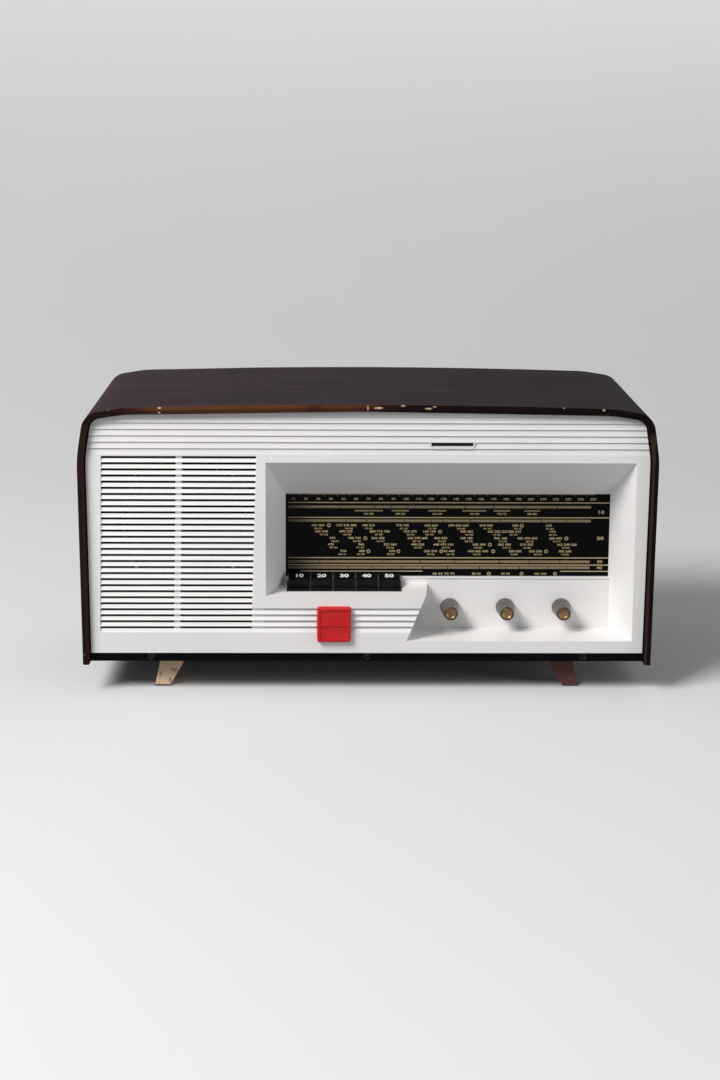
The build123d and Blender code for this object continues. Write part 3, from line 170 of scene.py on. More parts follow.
class Nodes:
    """A node tree, and the ways to add to it."""

    def __init__(self, owner):
        owner.use_nodes = True
        self.tree = owner.node_tree

    def put(self, socket, value):
        """Sets or links one input."""
        if isinstance(value, Value):
            self.tree.links.new(value.socket, socket)
        elif isinstance(value, tuple) and socket.type == "RGBA":
            socket.default_value = (*value, 1.0)
        else:
            socket.default_value = value

    def node(self, kind, settings=None, values=None, output=0):
        """Adds a node: its settings first, then the values or links of its inputs."""
        made = self.tree.nodes.new("ShaderNode" + kind)
        for key, setting in (settings or {}).items():
            setattr(made, key, setting)
        for key, value in (values or {}).items():
            self.put(made.inputs[key], value)
        return Value(self, made.outputs[output])

    def maths(self, operation, *values):
        """A Math node on one or two values."""
        return self.node("Math", {"operation": operation}, dict(enumerate(values)))

    def seen(self):
        """1 for rays from the camera and for rays that a gloss or a glass sends on."""
        kinds = ("Is Camera Ray", "Is Glossy Ray", "Is Transmission Ray")
        straight, glossy, through = (self.node("LightPath", output=kind) for kind in kinds)
        return straight.most(glossy).most(through)

    def mix(self, factor, first, second):
        """A colour between two colours."""
        values = {MIX_FACTOR: factor, MIX_FIRST: first, MIX_SECOND: second}
        return self.node("Mix", {"data_type": "RGBA"}, values, output=MIX_RESULT)


class Finish(Nodes):
    """A material with one Principled shader, and the patterns that feed it."""

    def __init__(self, name, **sockets):
        self.material = bpy.data.materials.new(name)
        super().__init__(self.material)
        self.shader = self.tree.nodes["Principled BSDF"]
        self.wear(**sockets)

    def wear(self, **sockets):
        """Feeds the Principled shader: base_color, roughness and so on."""
        for name, value in sockets.items():
            title = name.replace("_", " ").title().replace("Ior", "IOR")
            self.put(self.shader.inputs[title], value)
        return self

    def axis(self, index):
        """One coordinate of the point in metres: 0, 1 or 2 for x, y or z."""
        point = self.node("TexCoord", output="Object")
        return self.node("SeparateXYZ", values={"Vector": point}, output=index)

    def noise(self, scale, detail=4.0, stretch=(1, 1, 1), roughness=0.5, distortion=0.0,
              source="Object"):
        """Noise from 0 to 1 on Object or UV coordinates, which are stretched for a grain."""
        point = self.node("TexCoord", output=source)
        point = self.node("Mapping", values={"Vector": point, "Scale": stretch})
        values = {"Vector": point, "Scale": scale, "Detail": detail, "Roughness": roughness,
                  "Distortion": distortion}
        return self.node("TexNoise", values=values)

    def bump(self, height, strength, distance):
        values = {"Strength": strength, "Distance": distance, "Height": height}
        return self.wear(normal=self.node("Bump", values=values))


# %% [markdown]
# The world is a pale room. It lights the radio weakly, but the camera and every gloss see it pale.

# %% World
ROOM_COLOUR = (0.97, 0.98, 1.0)
ROOM_LIGHT, ROOM_PALE = 0.24, 0.72
world = bpy.data.worlds.new("studio")
scene.world = world
room = Nodes(world)
background = room.tree.nodes["Background"]
room.put(background.inputs["Color"], ROOM_COLOUR)
room.put(background.inputs["Strength"], room.seen() * (ROOM_PALE - ROOM_LIGHT) + ROOM_LIGHT)
print("world", ROOM_LIGHT, "and", ROOM_PALE)

# %% [markdown]
# New surfaces are grids of points worked out with numpy. Other pieces are clean copies of CAD
# nodes with rounded edges: a CAD mesh is loose triangles, and a bevel needs them joined.

# %% Mesh helpers
MERGE, CAD_MERGE = 1e-6, 2e-6  # points nearer than this become one
FLAT = math.radians(1.0)  # faces that meet at a smaller angle become one


def new_piece(name, mesh, body, finish):
    """An object at the origin that rides on a body and wears a finish."""
    piece = bpy.data.objects.new(name, mesh)
    scene.collection.objects.link(piece)
    mesh.materials.clear()
    mesh.materials.append(finish.material)
    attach(piece, body)
    return piece


def faces_mesh(name, points, faces, smooth=True):
    """A mesh from an (n, 3) array of points and a list of corner lists."""
    mesh = bpy.data.meshes.new(name)
    mesh.from_pydata(points.tolist(), [], faces)
    mesh.polygons.foreach_set("use_smooth", np.full(len(mesh.polygons), smooth))
    mesh.update()
    return mesh


def vertex_axes(mesh):
    """The x, y and z of a mesh's points, as three arrays."""
    points = np.empty(len(mesh.vertices) * 3)
    mesh.vertices.foreach_get("co", points)
    return points.reshape(-1, 3).T


def moved(faces, start):
    """The same corner lists, counted from a later point."""
    return [[corner + start for corner in face] for face in faces]


def grid_faces(rows, columns, wrap=False, start=0):
    """Corner lists of a grid of quads; with wrap, the last column joins the first."""
    r = np.arange(rows - 1)[:, None]
    c = np.arange(columns if wrap else columns - 1)[None, :]
    after = (c + 1) % columns
    quads = np.stack([r * columns + c, r * columns + after, (r + 1) * columns + after,
                      (r + 1) * columns + c], axis=-1)
    return moved(quads.reshape(-1, 4).tolist(), start)


def outward(mesh):
    """Merges doubles and turns all faces outwards."""
    work = bmesh.new()
    work.from_mesh(mesh)
    bmesh.ops.remove_doubles(work, verts=work.verts, dist=MERGE)
    bmesh.ops.recalc_face_normals(work, faces=work.faces)
    work.to_mesh(mesh)
    work.free()
    return mesh


def stand_in(name, points, faces, crease, body, finish, slot, node):
    """A closed piece that replaces a CAD node. Its shading breaks at edges sharper than crease."""
    mesh = outward(faces_mesh(name, points, faces))
    mesh.set_sharp_from_angle(angle=math.radians(crease))
    piece = new_piece(name, mesh, body, finish)
    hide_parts(node)
    return mesh


def turned(x, z, radius, y, angle):
    """Points of rings round an axis along Y: radius and y are columns, angle is a row."""
    return np.stack(np.broadcast_arrays(x + radius * np.cos(angle), y,
                                        z + radius * np.sin(angle)), -1)


def surface(grid, wrap=False):
    """Points and faces of a grid of points."""
    return grid.reshape(-1, 3), grid_faces(*grid.shape[:2], wrap)


def middle_of(node):
    """The corners of a node's box, and the middle of its x and of its z."""
    low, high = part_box(node)
    return low, high, (low.x + high.x) / 2, (low.z + high.z) / 2


def rounded_copy(node, name, finish, radius, segments=2, angle=28, crease=None):
    """A joined copy of a CAD node of the cabinet, with edges sharper than angle rounded. Its
    shading breaks at crease, or at angle."""
    mesh = frame["nodes"][node].data.copy()
    mesh.name = name
    work = bmesh.new()
    work.from_mesh(mesh)
    bmesh.ops.remove_doubles(work, verts=work.verts, dist=CAD_MERGE)
    bmesh.ops.dissolve_limit(work, angle_limit=FLAT, verts=work.verts, edges=work.edges)
    for face in work.faces:
        face.smooth = True
    work.to_mesh(mesh)
    work.free()
    piece = new_piece(name, mesh, "cabinet", finish)
    for attribute in ("custom_normal", "sharp_edge", "sharp_face"):
        if attribute in mesh.attributes:
            mesh.attributes.remove(mesh.attributes[attribute])
    mesh.set_sharp_from_angle(angle=math.radians(crease or angle))
    bevel = piece.modifiers.new("rounded", "BEVEL")
    bevel.width = radius
    bevel.segments = segments
    bevel.limit_method = "ANGLE"
    bevel.angle_limit = math.radians(angle)
    bevel.harden_normals = True
    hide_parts(node)
    return piece


# %% [markdown]
# Three recipes serve many pieces: metal, clouded plastic or paint, and pressed fibre.

# %% Shared finishes
def metal_finish(name, colour, roughness):
    """Plain metal: slight colour clouds, fine grain in the gloss."""
    metal = Finish(name, metallic=1.0)
    grain = metal.noise(700, 3)
    cloud = metal.noise(35, 3)
    shade = tuple(c * 0.72 for c in colour)
    metal.wear(base_color=metal.mix(cloud.between(0.35, 0.65), shade, colour),
               roughness=roughness + grain * 0.12)
    return metal.bump(grain, 0.05, 0.2 * MM)


def plain_finish(name, first, second, roughness, scale=120, depth=0.08, **sockets):
    """A non-metal with clouded colour and a fine grain."""
    made = Finish(name, **sockets)
    cloud = made.noise(scale, 4)
    made.wear(base_color=made.mix(cloud.between(0.3, 0.7), first, second),
              roughness=roughness + cloud * 0.12)
    return made.bump(made.noise(scale * 4, 3), depth, 0.3 * MM)


def board_finish(name, first, second, roughness):
    """Pressed fibre: short fibres in all directions over a clouded ground."""
    made = Finish(name)
    fibre = made.noise(420, 5, (1, 1, 3)).between(0.35, 0.7)
    made.wear(base_color=made.mix(fibre, first, second), roughness=roughness)
    return made.bump(fibre, 0.2, 0.3 * MM)


# %% [markdown]
# The cabinet is dark stained veneer under satin lacquer. Long fine streaks carry its grain, and
# pores are short dark dashes between them; both are fainter on the sides. Painted shade darkens it
# towards the right.

# %% Veneer
CROWN = 257.5 * MM  # top of the shell, at its middle
CROWN_FALL = 3.3 * MM / (212 * MM) ** 2  # the crown falls by this times x squared
HALF_WIDTH = 250 * MM
DARK_STAIN, WARM_STAIN = (0.0130, 0.0078, 0.0105), (0.027, 0.0145, 0.0190)
LIGHT_STAIN, STREAK = (0.044, 0.0260, 0.0320), (0.076, 0.046, 0.053)
# Painted shade: the colour that the veneer darkens towards on the right.
PORE, PAINTED_RIGHT_SHADE = (0.004, 0.002, 0.0025), (0.004, 0.003, 0.0045)


def veneer_parts(wood, across, under_crown):
    """The sheet's colour, roughness, relief and streaks."""
    long_grain = wood.noise(34, 5, (0.10, 1, 1), 0.6, 0.4, source="UV")
    figure = wood.noise(5, 3, (0.35, 1, 1), 0.5, 1.2, source="UV")
    streaks = wood.noise(760, 3, (0.012, 1, 1), 0.6, source="UV")
    pores = wood.noise(420, 2, (0.05, 1, 1), 0.5, source="UV")
    side = under_crown.between(8 * MM, 45 * MM)
    colour = wood.mix(long_grain.between(0.36, 0.64), DARK_STAIN, WARM_STAIN)
    colour = wood.mix(figure.between(0.46, 0.74) * 0.6, colour, LIGHT_STAIN)
    colour = wood.mix(streaks.between(0.44, 0.62) * (0.55 - side * 0.4), colour, STREAK)
    colour = wood.mix(pores.between(0.52, 0.70) * (0.5 - side * 0.3), colour, PORE)
    # Painted shade, darker towards the right.
    colour = wood.mix(across.between(-HALF_WIDTH, HALF_WIDTH) * 0.7, colour, PAINTED_RIGHT_SHADE)
    roughness = 0.46 + figure * 0.10 + streaks * 0.12
    return colour, roughness, long_grain * 0.5 + pores + streaks * 0.6, streaks


# %% [markdown]
# The front edge is darker, with painted shade deepening it towards the right, and rubbed to a warm
# brown left of the middle. Painted shade darkens its lower part under the crown, a painted
# highlight lies along the inner arris down the sides, and small pale chips show where it was
# knocked.

# %% Front edge
WIDEST = 200 * MM  # below this height the sides lean in
SIDE_TAPER = 0.0125
EDGE_START, EDGE_FULL = -101.0 * MM, -101.6 * MM
TOP_EDGE = (236 * MM, 244 * MM)  # the edge of the top starts between these heights
RUBBED_MIDDLE, RUBBED_FADE = -95 * MM, (125 * MM, 70 * MM)
# Painted shade: the edge darkens from its left colour to its right colour.
PAINTED_SHADE_HALF = 240 * MM
LEFT_EDGE, PAINTED_SHADE_RIGHT_EDGE = (0.024, 0.010, 0.009), (0.009, 0.005, 0.005)
RUBBED_WOOD, EDGE_STREAK = (0.115, 0.045, 0.020), (0.006, 0.003, 0.003)
# The lower ply colour is painted shade, and the inner ply colour a painted highlight.
PAINTED_SHADE_UNDER_CROWN, PAINTED_HIGHLIGHT_ARRIS, BARE_WOOD = (0.008, 0.004, 0.004), (0.052, 0.030, 0.022), (0.50, 0.34, 0.22)
# A chip: its place across, its drop under the crown, half its width and half its height, in mm.
CHIPS = ((-223, 0.8, 2.4, 0.9), (-179, 0.8, 1.8, 0.9), (-179, 4.9, 1.0, 0.8),
         (-1, 2.6, 0.8, 2.2), (8, 2.6, 4.2, 1.0), (29, 0.7, 2.4, 0.7), (51, 2.9, 3.2, 0.9),
         (56, 1.2, 1.6, 0.6), (201, 1.0, 1.6, 1.0))


def edge_colour(wood, across, height, under_crown, streaks):
    """Stain with painted shade to the right, then rubbing, streaks, the painted shade under the
    crown, the painted highlight on the inner arris and the chips: ellipses with a ragged outline.
    """
    of_top = height.between(*TOP_EDGE)
    ragged = wood.noise(900, 2)
    rubbed = abs(across - RUBBED_MIDDLE).between(*RUBBED_FADE) * of_top
    rubbed = rubbed * wood.noise(22, 3).between(0.24, 0.5)
    # Painted shade, darker towards the right.
    edge = wood.mix(across.between(-PAINTED_SHADE_HALF, PAINTED_SHADE_HALF), LEFT_EDGE, PAINTED_SHADE_RIGHT_EDGE)
    edge = wood.mix(rubbed, edge, RUBBED_WOOD)
    edge = wood.mix(streaks.between(0.45, 0.7) * 0.5, edge, EDGE_STREAK)
    # Painted shade on the lower part of the edge under the crown.
    edge = wood.mix(under_crown.between(2.4 * MM, 3.6 * MM) * of_top * 0.5, edge, PAINTED_SHADE_UNDER_CROWN)
    # A painted highlight along the inner arris, strongest on the right.
    inward = HALF_WIDTH - (WIDEST - height) * SIDE_TAPER - abs(across)
    inner = inward.between(3.1 * MM, 3.9 * MM) * height.between(TOP_EDGE[0], 228 * MM)
    inner = inner * (across.between(-10 * MM, 10 * MM) * 0.7 + 0.3)
    edge = wood.mix(inner * 0.7, edge, PAINTED_HIGHLIGHT_ARRIS)
    chips = wood.noise(70, 3, (1, 1, 2.2), 0.55).between(0.70, 0.72) * ragged.between(0.42, 0.55)
    for place, drop, half_wide, half_tall in CHIPS:
        wide = (across - place * MM) / (half_wide * MM)
        tall = (under_crown - drop * MM) / (half_tall * MM)
        chips = chips.most((wide * wide + tall * tall + ragged * 2.4 - 1.2).between(1.0, 0.7))
    return wood.mix(chips, edge, BARE_WOOD)


def cabinet_finish():
    wood = Finish("cabinet_wood", specular_ior_level=0.02)
    across, height = wood.axis(0), wood.axis(2)
    under_crown = CROWN - across * across * CROWN_FALL - height
    colour, roughness, relief, streaks = veneer_parts(wood, across, under_crown)
    edge = edge_colour(wood, across, height, under_crown, streaks)
    front = wood.axis(1).between(EDGE_START, EDGE_FULL)
    wood.wear(base_color=wood.mix(front, colour, edge), roughness=roughness + front * 0.10)
    return wood.bump(relief, 0.14, 0.3 * MM)


# %% [markdown]
# A UV map lets the grain of the shell turn down with its sides.

# %% Cabinet shell
CORNER_SHARE = 0.90  # the sheet turns down beyond this share of the half width
shell = rounded_copy("cabinet_shell", "cabinet_shell_veneer", cabinet_finish(), 0.5 * MM, angle=35)


def unroll(mesh):
    """UV map: x over the top, then past the corner the way down the side; y is the depth."""
    x, y, z = vertex_axes(mesh)
    turned_down = np.abs(x) > CORNER_SHARE * HALF_WIDTH
    along = np.where(turned_down, np.sign(x) * (np.abs(x) + (CROWN - z)), x)
    corner = np.empty(len(mesh.loops), int)
    mesh.loops.foreach_get("vertex_index", corner)
    layer = mesh.uv_layers.new(name="sheet")
    layer.data.foreach_set("uv", np.stack([along[corner], y[corner]], -1).ravel())


unroll(shell.data)
print("shell faces", len(shell.data.polygons))

# %% [markdown]
# The front is one glossy white moulding with a few specks. Fine waviness breaks the reflections.
# Painted shade greys each clapboard strip, and each ridge of the key block, towards its upper edge,
# under the one above. The slots of the grille are painted black behind the slats' faces, as shade.

# %% White front
STRIP_TOP, STRIP_PITCH, STRIP_FIELD_FOOT = 218.4 * MM, 5.6 * MM, 212.0 * MM
RIDGE_TOP, RIDGE_PITCH = 60.05 * MM, 5.41 * MM
RIDGE_FIELD_FOOT, RIDGE_FIELD_HEAD = 56.0 * MM, 76.4 * MM
RIDGE_FIELD_LEFT, RIDGE_FIELD_RIGHT = -90.5 * MM, 60.5 * MM
GRILLE_RIGHT, GRILLE_FOOT, GRILLE_HEAD = -91.0 * MM, 54.5 * MM, 212.5 * MM
SLAT_BACK = -95.35 * MM
FACE_START, FACE_FULL = -93.0 * MM, -95.0 * MM
COOL_WHITE, WARM_WHITE = (0.795, 0.785, 0.785), (0.830, 0.820, 0.815)
# Painted shade: the grey of the strips' upper edges and the black inside the slots.
PAINTED_SHADE_GREY, PAINTED_SLOT_SHADE, SPECK = (0.38, 0.37, 0.38), (0.004, 0.004, 0.004), (0.45, 0.42, 0.38)
WHOLE_STRIPS = 10  # added before the fraction is taken, to stay above zero


def lee_of(height, top, pitch):
    """The share of the way up a strip or a ridge, from 0 to 1."""
    return ((height - top) / pitch + WHOLE_STRIPS).fraction()


def moulding_finish():
    white = Finish("white_moulding", specular_ior_level=0.35)
    cloud = white.noise(9, 3)
    across, depth, height = white.axis(0), white.axis(1), white.axis(2)
    strips = height.between(STRIP_FIELD_FOOT, STRIP_FIELD_FOOT + 0.3 * MM)
    ridges = height.within(RIDGE_FIELD_FOOT, RIDGE_FIELD_HEAD, 0.2 * MM)
    ridges = ridges * across.within(RIDGE_FIELD_LEFT, RIDGE_FIELD_RIGHT, 0.5 * MM)
    # Painted shade towards the upper edge of each strip and ridge.
    lee = lee_of(height, STRIP_TOP, STRIP_PITCH).power(2.2) * strips
    lee = lee + lee_of(height, RIDGE_TOP, RIDGE_PITCH).between(0.42, 0.72) * ridges
    # Painted shade: black inside the slots of the grille.
    inside = depth.between(SLAT_BACK - 0.15 * MM, SLAT_BACK + 0.15 * MM)
    inside = inside * across.between(GRILLE_RIGHT, GRILLE_RIGHT - MM)
    inside = inside * height.within(GRILLE_FOOT, GRILLE_HEAD, 0.5 * MM)
    colour = white.mix(cloud.between(0.3, 0.7), COOL_WHITE, WARM_WHITE)
    colour = white.mix(lee * depth.between(FACE_START, FACE_FULL) * 0.42, colour, PAINTED_SHADE_GREY)
    colour = white.mix(inside, colour, PAINTED_SLOT_SHADE)
    colour = white.mix(white.noise(900, 2).between(0.74, 0.79) * 0.4, colour, SPECK)
    white.wear(base_color=colour, roughness=0.27 + cloud * 0.08)
    return white.bump(white.noise(60, 2), 0.03, 0.3 * MM)


bezel = rounded_copy("front_bezel", "front_moulding", moulding_finish(), 0.16 * MM, angle=30,
                     crease=10)
print("front faces", len(bezel.data.polygons))

# %% [markdown]
# The bottom board is painted black. Paint on sawn wood is a little uneven, most of all in gloss.

# %% Bottom board
paint = Finish("black_board", specular_ior_level=0.05)
cloud = paint.noise(40, 5, (0.3, 1, 1))
paint.wear(base_color=paint.mix(cloud, (0.0006, 0.0006, 0.0012), (0.0018, 0.0018, 0.0030)),
           roughness=0.42 + cloud * 0.2)
paint.bump(cloud, 0.15, 0.5 * MM)
board = rounded_copy("bottom_board", "bottom_board_painted", paint, 0.7 * MM, angle=35)
print("board faces", len(board.data.polygons))

# %% [markdown]
# Three black screw heads show in the board's front edge: domed discs with a sunk slot, each left at
# another turn.

# %% Screw heads
HEAD_RADIUS, HEAD_HEIGHT, SLOT_WIDTH = 3.4 * MM, 1.8 * MM, 0.9 * MM
DOME_SHARE = SLOT_SHARE = 0.45  # of the head's height
HEAD_TURNS = (0.5, -0.35, 1.1)


def screw_heads(places):
    """Discs with a fall of height * (1 - share * r cubed), less the slot's depth within half its
    width of a line through the middle."""
    ring = np.linspace(0, 1, 7)
    angle = np.linspace(0, 2 * np.pi, 48, endpoint=False)
    points, faces = [], []
    for (x, y, z), turn in zip(places, HEAD_TURNS):
        radii = np.append(ring, 1.0)[:, None] * HEAD_RADIUS
        fall = np.append(HEAD_HEIGHT * (1 - DOME_SHARE * ring ** 3), 0.0)[:, None]
        u, v = radii * np.cos(angle), radii * np.sin(angle)
        from_line = np.abs(u * math.sin(turn) + v * math.cos(turn))
        in_slot = (from_line < SLOT_WIDTH / 2) & (fall > 0)
        sunk = np.where(in_slot, SLOT_SHARE * HEAD_HEIGHT, 0)
        grid = np.stack([x + u, y - fall + sunk, z + v], -1)
        faces += grid_faces(len(radii), len(angle), True, start=sum(len(p) for p in points))
        points.append(grid.reshape(-1, 3))
    return np.concatenate(points), faces


low, high, middle, screw_z = middle_of("plinth_screws")
screw_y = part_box("bottom_board")[0].y
end_inset = (high.z - low.z) / 2
screw_places = [(x, screw_y, screw_z) for x in (low.x + end_inset, middle, high.x - end_inset)]
black_screw = metal_finish("black_screw", (0.022, 0.021, 0.022), 0.22)
mesh = outward(faces_mesh("plinth_screw_heads", *screw_heads(screw_places), smooth=False))
heads = new_piece("plinth_screw_heads", mesh, "cabinet", black_screw)
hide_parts("plinth_screws")
print("screw heads", len(screw_places))

# %% [markdown]
# The four legs are short splayed blocks. Two are bare pressed wood, pale with dark flecks. The
# others are stained red brown and worn through in places. All are darker at the foot.

# %% Legs
# The darker colour at the foot of each leg.
FOOT_DARKENING = (0.025, 0.018, 0.015)


def leg_finish(name, base, fleck, wear_and_highlight, amount):
    wood = Finish(name)
    chips = wood.noise(260, 3, (1, 1, 0.7)).between(0.54, 0.66)
    cloud = wood.noise(90, 4, (1, 1, 0.3))
    colour = wood.mix(chips, base, fleck)
    colour = wood.mix(cloud.between(0.60, 0.68) * amount, colour, wear_and_highlight)
    # Darker within two millimetres of the floor.
    foot = wood.axis(2).between(2.2 * MM, 1.0 * MM)
    colour = wood.mix(foot * 0.85, colour, FOOT_DARKENING)
    wood.wear(base_color=colour, roughness=0.6 + cloud * 0.2)
    return wood.bump(chips + cloud, 0.3, 0.6 * MM)


pale_leg = leg_finish("leg_chipboard", (0.82, 0.60, 0.41), (0.48, 0.30, 0.20),
                      (0.84, 0.69, 0.52), 0.8)
red_leg = leg_finish("leg_stained_wood", (0.105, 0.032, 0.022), (0.05, 0.018, 0.014),
                     (0.36, 0.20, 0.14), 0.75)
for end in ("front", "rear"):
    for side in ("left", "right"):
        finish = pale_leg if (end == "front") == (side == "left") else red_leg
        leg = "leg_%s_%s" % (end, side)
        rounded_copy(leg, leg + "_block", finish, 0.8 * MM, segments=3)
        print(leg, finish.material.name)

# %% [markdown]
# A piano key is black plastic, smeared by fingers, with a grey highlight painted along its side
# edges.

# %% Key plastic
KEY_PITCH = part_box("key_2")[0].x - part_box("key_1")[0].x
KEY_ROW_LEFT = (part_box("key_1")[0].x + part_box("key_1")[1].x - KEY_PITCH) / 2
black = Finish("key_plastic", specular_ior_level=0.22)
smear = black.noise(120, 4, (1, 1, 1.6))
colour = black.mix(smear.between(0.5, 0.75) * 0.4, (0.0035, 0.0035, 0.0045), (0.012, 0.012, 0.013))
across = ((black.axis(0) - KEY_ROW_LEFT) / KEY_PITCH).fraction()
# A painted highlight along the side edges of each key.
wear_and_highlight = abs(across - 0.5).between(0.468, 0.478) * smear.between(0.3, 0.5)
colour = black.mix(wear_and_highlight * 0.7, colour, (0.20, 0.20, 0.20))
black.wear(base_color=colour, roughness=0.10 + smear * 0.14)
black.bump(smear, 0.03, 0.3 * MM)
print("key pitch", round(KEY_PITCH / MM, 2), "mm")

# %% [markdown]
# The key has a raised face for its number and, in front of a crease, a dished place for the thumb.
# The crease lies further back in the middle of the key, which makes it an arch.

# %% Key shape
KEY_FRONT, KEY_CREASE, KEY_BACK = -82.0 * MM, -71.0 * MM, -58.6 * MM
KEY_FRONT_Z, KEY_CREASE_Z, KEY_BACK_Z = 89.0 * MM, 92.4 * MM, 98.6 * MM
KEY_SLOPE = (KEY_BACK_Z - KEY_CREASE_Z) / (KEY_BACK - KEY_CREASE)
KEY_SAG, KEY_ARCH = 1.3 * MM, 1.7 * MM
KEY_STEP = 0.55 * MM  # the raised face stands this far above the crease
KEY_ROUND, KEY_FRONT_ROUND, KEY_BACK_ROUND = 0.55 * MM, 0.6 * MM, 0.7 * MM
KEY_CUT = 4.0 * MM  # the new shape ends this far above the node's foot


def key_columns(half):
    """Offsets across the key and their drop: quarter circles over the side edges, level between."""
    corner = np.linspace(np.pi / 2, 0, 5)
    left = np.stack([-half + KEY_ROUND * (1 - np.sin(corner)),
                     KEY_ROUND * (1 - np.cos(corner))], -1)
    inner = np.linspace(-half + KEY_ROUND, half - KEY_ROUND, 13)[1:-1]
    columns = np.concatenate([left, np.stack([inner, 0 * inner], -1), left[::-1] * (-1, 1)])
    return columns[:, 0][None, :], columns[:, 1][None, :]


def key_surface(node):
    """Each column follows the profile: front, dish (a parabola below its chord, half as deep again
    in the middle), raised face and back. A last column on each side goes down to the foot."""
    low, high, middle, _ = middle_of(node)
    half = (high.x - low.x) / 2
    x, drop = key_columns(half)
    level = 0 * x
    bulge = 1 - (x / half) ** 2
    crease_y = KEY_CREASE + KEY_ARCH * bulge
    crease_z = KEY_CREASE_Z + KEY_SLOPE * KEY_ARCH * bulge
    s = np.linspace(0, 1, 10)[:, None]
    dish_front = KEY_FRONT + 0.5 * MM
    dish_y = dish_front + s * (crease_y - dish_front)
    dish_z = KEY_FRONT_Z + s * (crease_z - KEY_FRONT_Z)
    dish_z = dish_z - 4 * KEY_SAG * (1 + 0.5 * bulge) * s * (1 - s)
    t = np.linspace(0, 1, 5)[1:, None]
    face_y, face_z = crease_y + 0.25 * MM, crease_z + KEY_STEP
    face_y = face_y + t * (KEY_BACK - 0.5 * MM - face_y)
    face_z = face_z + t * (KEY_BACK_Z - 0.15 * MM - face_z)
    foot = low.z + KEY_CUT
    front_top = KEY_FRONT_Z - KEY_FRONT_ROUND
    rows = [(KEY_FRONT, foot), (KEY_FRONT, front_top),
            (KEY_FRONT + 0.15 * MM, front_top + 0.45 * MM), (dish_y, dish_z), (face_y, face_z),
            (KEY_BACK, KEY_BACK_Z - KEY_BACK_ROUND), (KEY_BACK, foot)]
    y = np.concatenate([row_y + level for row_y, row_z in rows])
    z = np.maximum(np.concatenate([row_z + level for row_y, row_z in rows]) - drop, foot)
    grid = np.stack([np.broadcast_to(middle + x, y.shape), y, z], -1)
    sides = grid[:, [0, -1]].copy()
    sides[:, :, 2] = foot
    return surface(np.concatenate([sides[:, :1], grid, sides[:, 1:]], axis=1))


# %% [markdown]
# A flat arm carries the key from behind. Both are one mesh.

# %% Keys in place
KEYS = range(1, 6)
ARM_HALF, ARM_LAP = 6 * MM, 2 * MM
ARM_FOOT, ARM_HEAD = 83.5 * MM, 89.5 * MM


def box_points(low, high):
    """The eight corners and six faces of a block."""
    ends = (low, high)
    corners = np.array([[ends[i][0], ends[j][1], ends[k][2]]
                        for i in (0, 1) for j in (0, 1) for k in (0, 1)])
    faces = [[0, 1, 3, 2], [4, 6, 7, 5], [0, 4, 5, 1], [2, 3, 7, 6], [0, 2, 6, 4], [1, 5, 7, 3]]
    return corners, faces


for number in KEYS:
    low, high, middle, _ = middle_of("key_%d" % number)
    points, faces = key_surface("key_%d" % number)
    arm, arm_faces = box_points((middle - ARM_HALF, KEY_BACK - ARM_LAP, ARM_FOOT),
                                (middle + ARM_HALF, high.y, ARM_HEAD))
    faces += moved(arm_faces, len(points))
    mesh = stand_in("key_top_%d" % number, np.concatenate([points, arm]), faces, 40,
                    "key_body_%d" % number, black, "key_plastic", "key_%d" % number)
print("key faces", len(mesh.polygons))

# %% [markdown]
# A knob is a tapered fluted sleeve with a dished brass disc in its end.

# %% Knob finishes
FLUTES = 24


def flute_wave(angle):
    """0 on the ridges and 1 in the grooves between them."""
    return 1 - np.abs(np.cos(FLUTES * angle / 2))


def sleeve_finish():
    """Plastic with painted shade in the flutes, which an attribute of the mesh marks."""
    plastic = Finish("knob_plastic", coat_weight=0.3, coat_roughness=0.1)
    cloud = plastic.noise(420, 3)
    groove = plastic.node("Attribute", {"attribute_name": "groove"}, output=ATTRIBUTE_FACTOR)
    colour = plastic.mix(cloud.between(0.3, 0.7), (0.075, 0.064, 0.058), (0.125, 0.110, 0.100))
    # Painted shade in the flutes and on the tip's rim.
    colour = plastic.mix(groove.between(0.25, 0.65) * 0.9, colour, (0.012, 0.009, 0.008))
    return plastic.wear(base_color=colour, roughness=0.24 + cloud * 0.1)


def mark_grooves(mesh, node):
    """groove = the flutes' wave on the flank, and 1 on the tip's rim and in its socket."""
    low, high, middle_x, middle_z = middle_of(node)
    x, y, z = vertex_axes(mesh)
    angle = np.arctan2(z - middle_z, x - middle_x)
    groove = np.where(y > low.y + 0.5 * MM, flute_wave(angle), 1.0)
    mesh.attributes.new("groove", "FLOAT", "POINT").data.foreach_set("value", groove)


def spun_brass():
    brass = Finish("cap_brass", metallic=1.0)
    tarnish = brass.noise(160, 3).between(0.35, 0.75)
    grain = brass.noise(1500, 1)
    brass.wear(base_color=brass.mix(tarnish, (0.26, 0.165, 0.078), (0.13, 0.078, 0.036)),
               roughness=0.34 + grain * 0.08)
    return brass.bump(grain, 0.04, 0.2 * MM)


sleeve, brass = sleeve_finish(), spun_brass()
print("flutes", FLUTES)

# %% [markdown]
# Both pieces of a knob are profiles turned round its axis. The flutes fade out at both ends.

# %% Knobs
FLUTE_DEPTH = 0.7 * MM
FLUTE_STEPS = 12  # points round each flute
TIP_RADIUS, BORE_RADIUS = 6.25 * MM, 3.2 * MM
SOCKET_DEPTH = 2.2 * MM
DISH_RADIUS, DISH_DEPTH = 4.242 * MM, 1.5 * MM
DISC_STEPS = 72
AXIS_GAP = 0.01 * MM  # rings nearest to the axis keep this radius


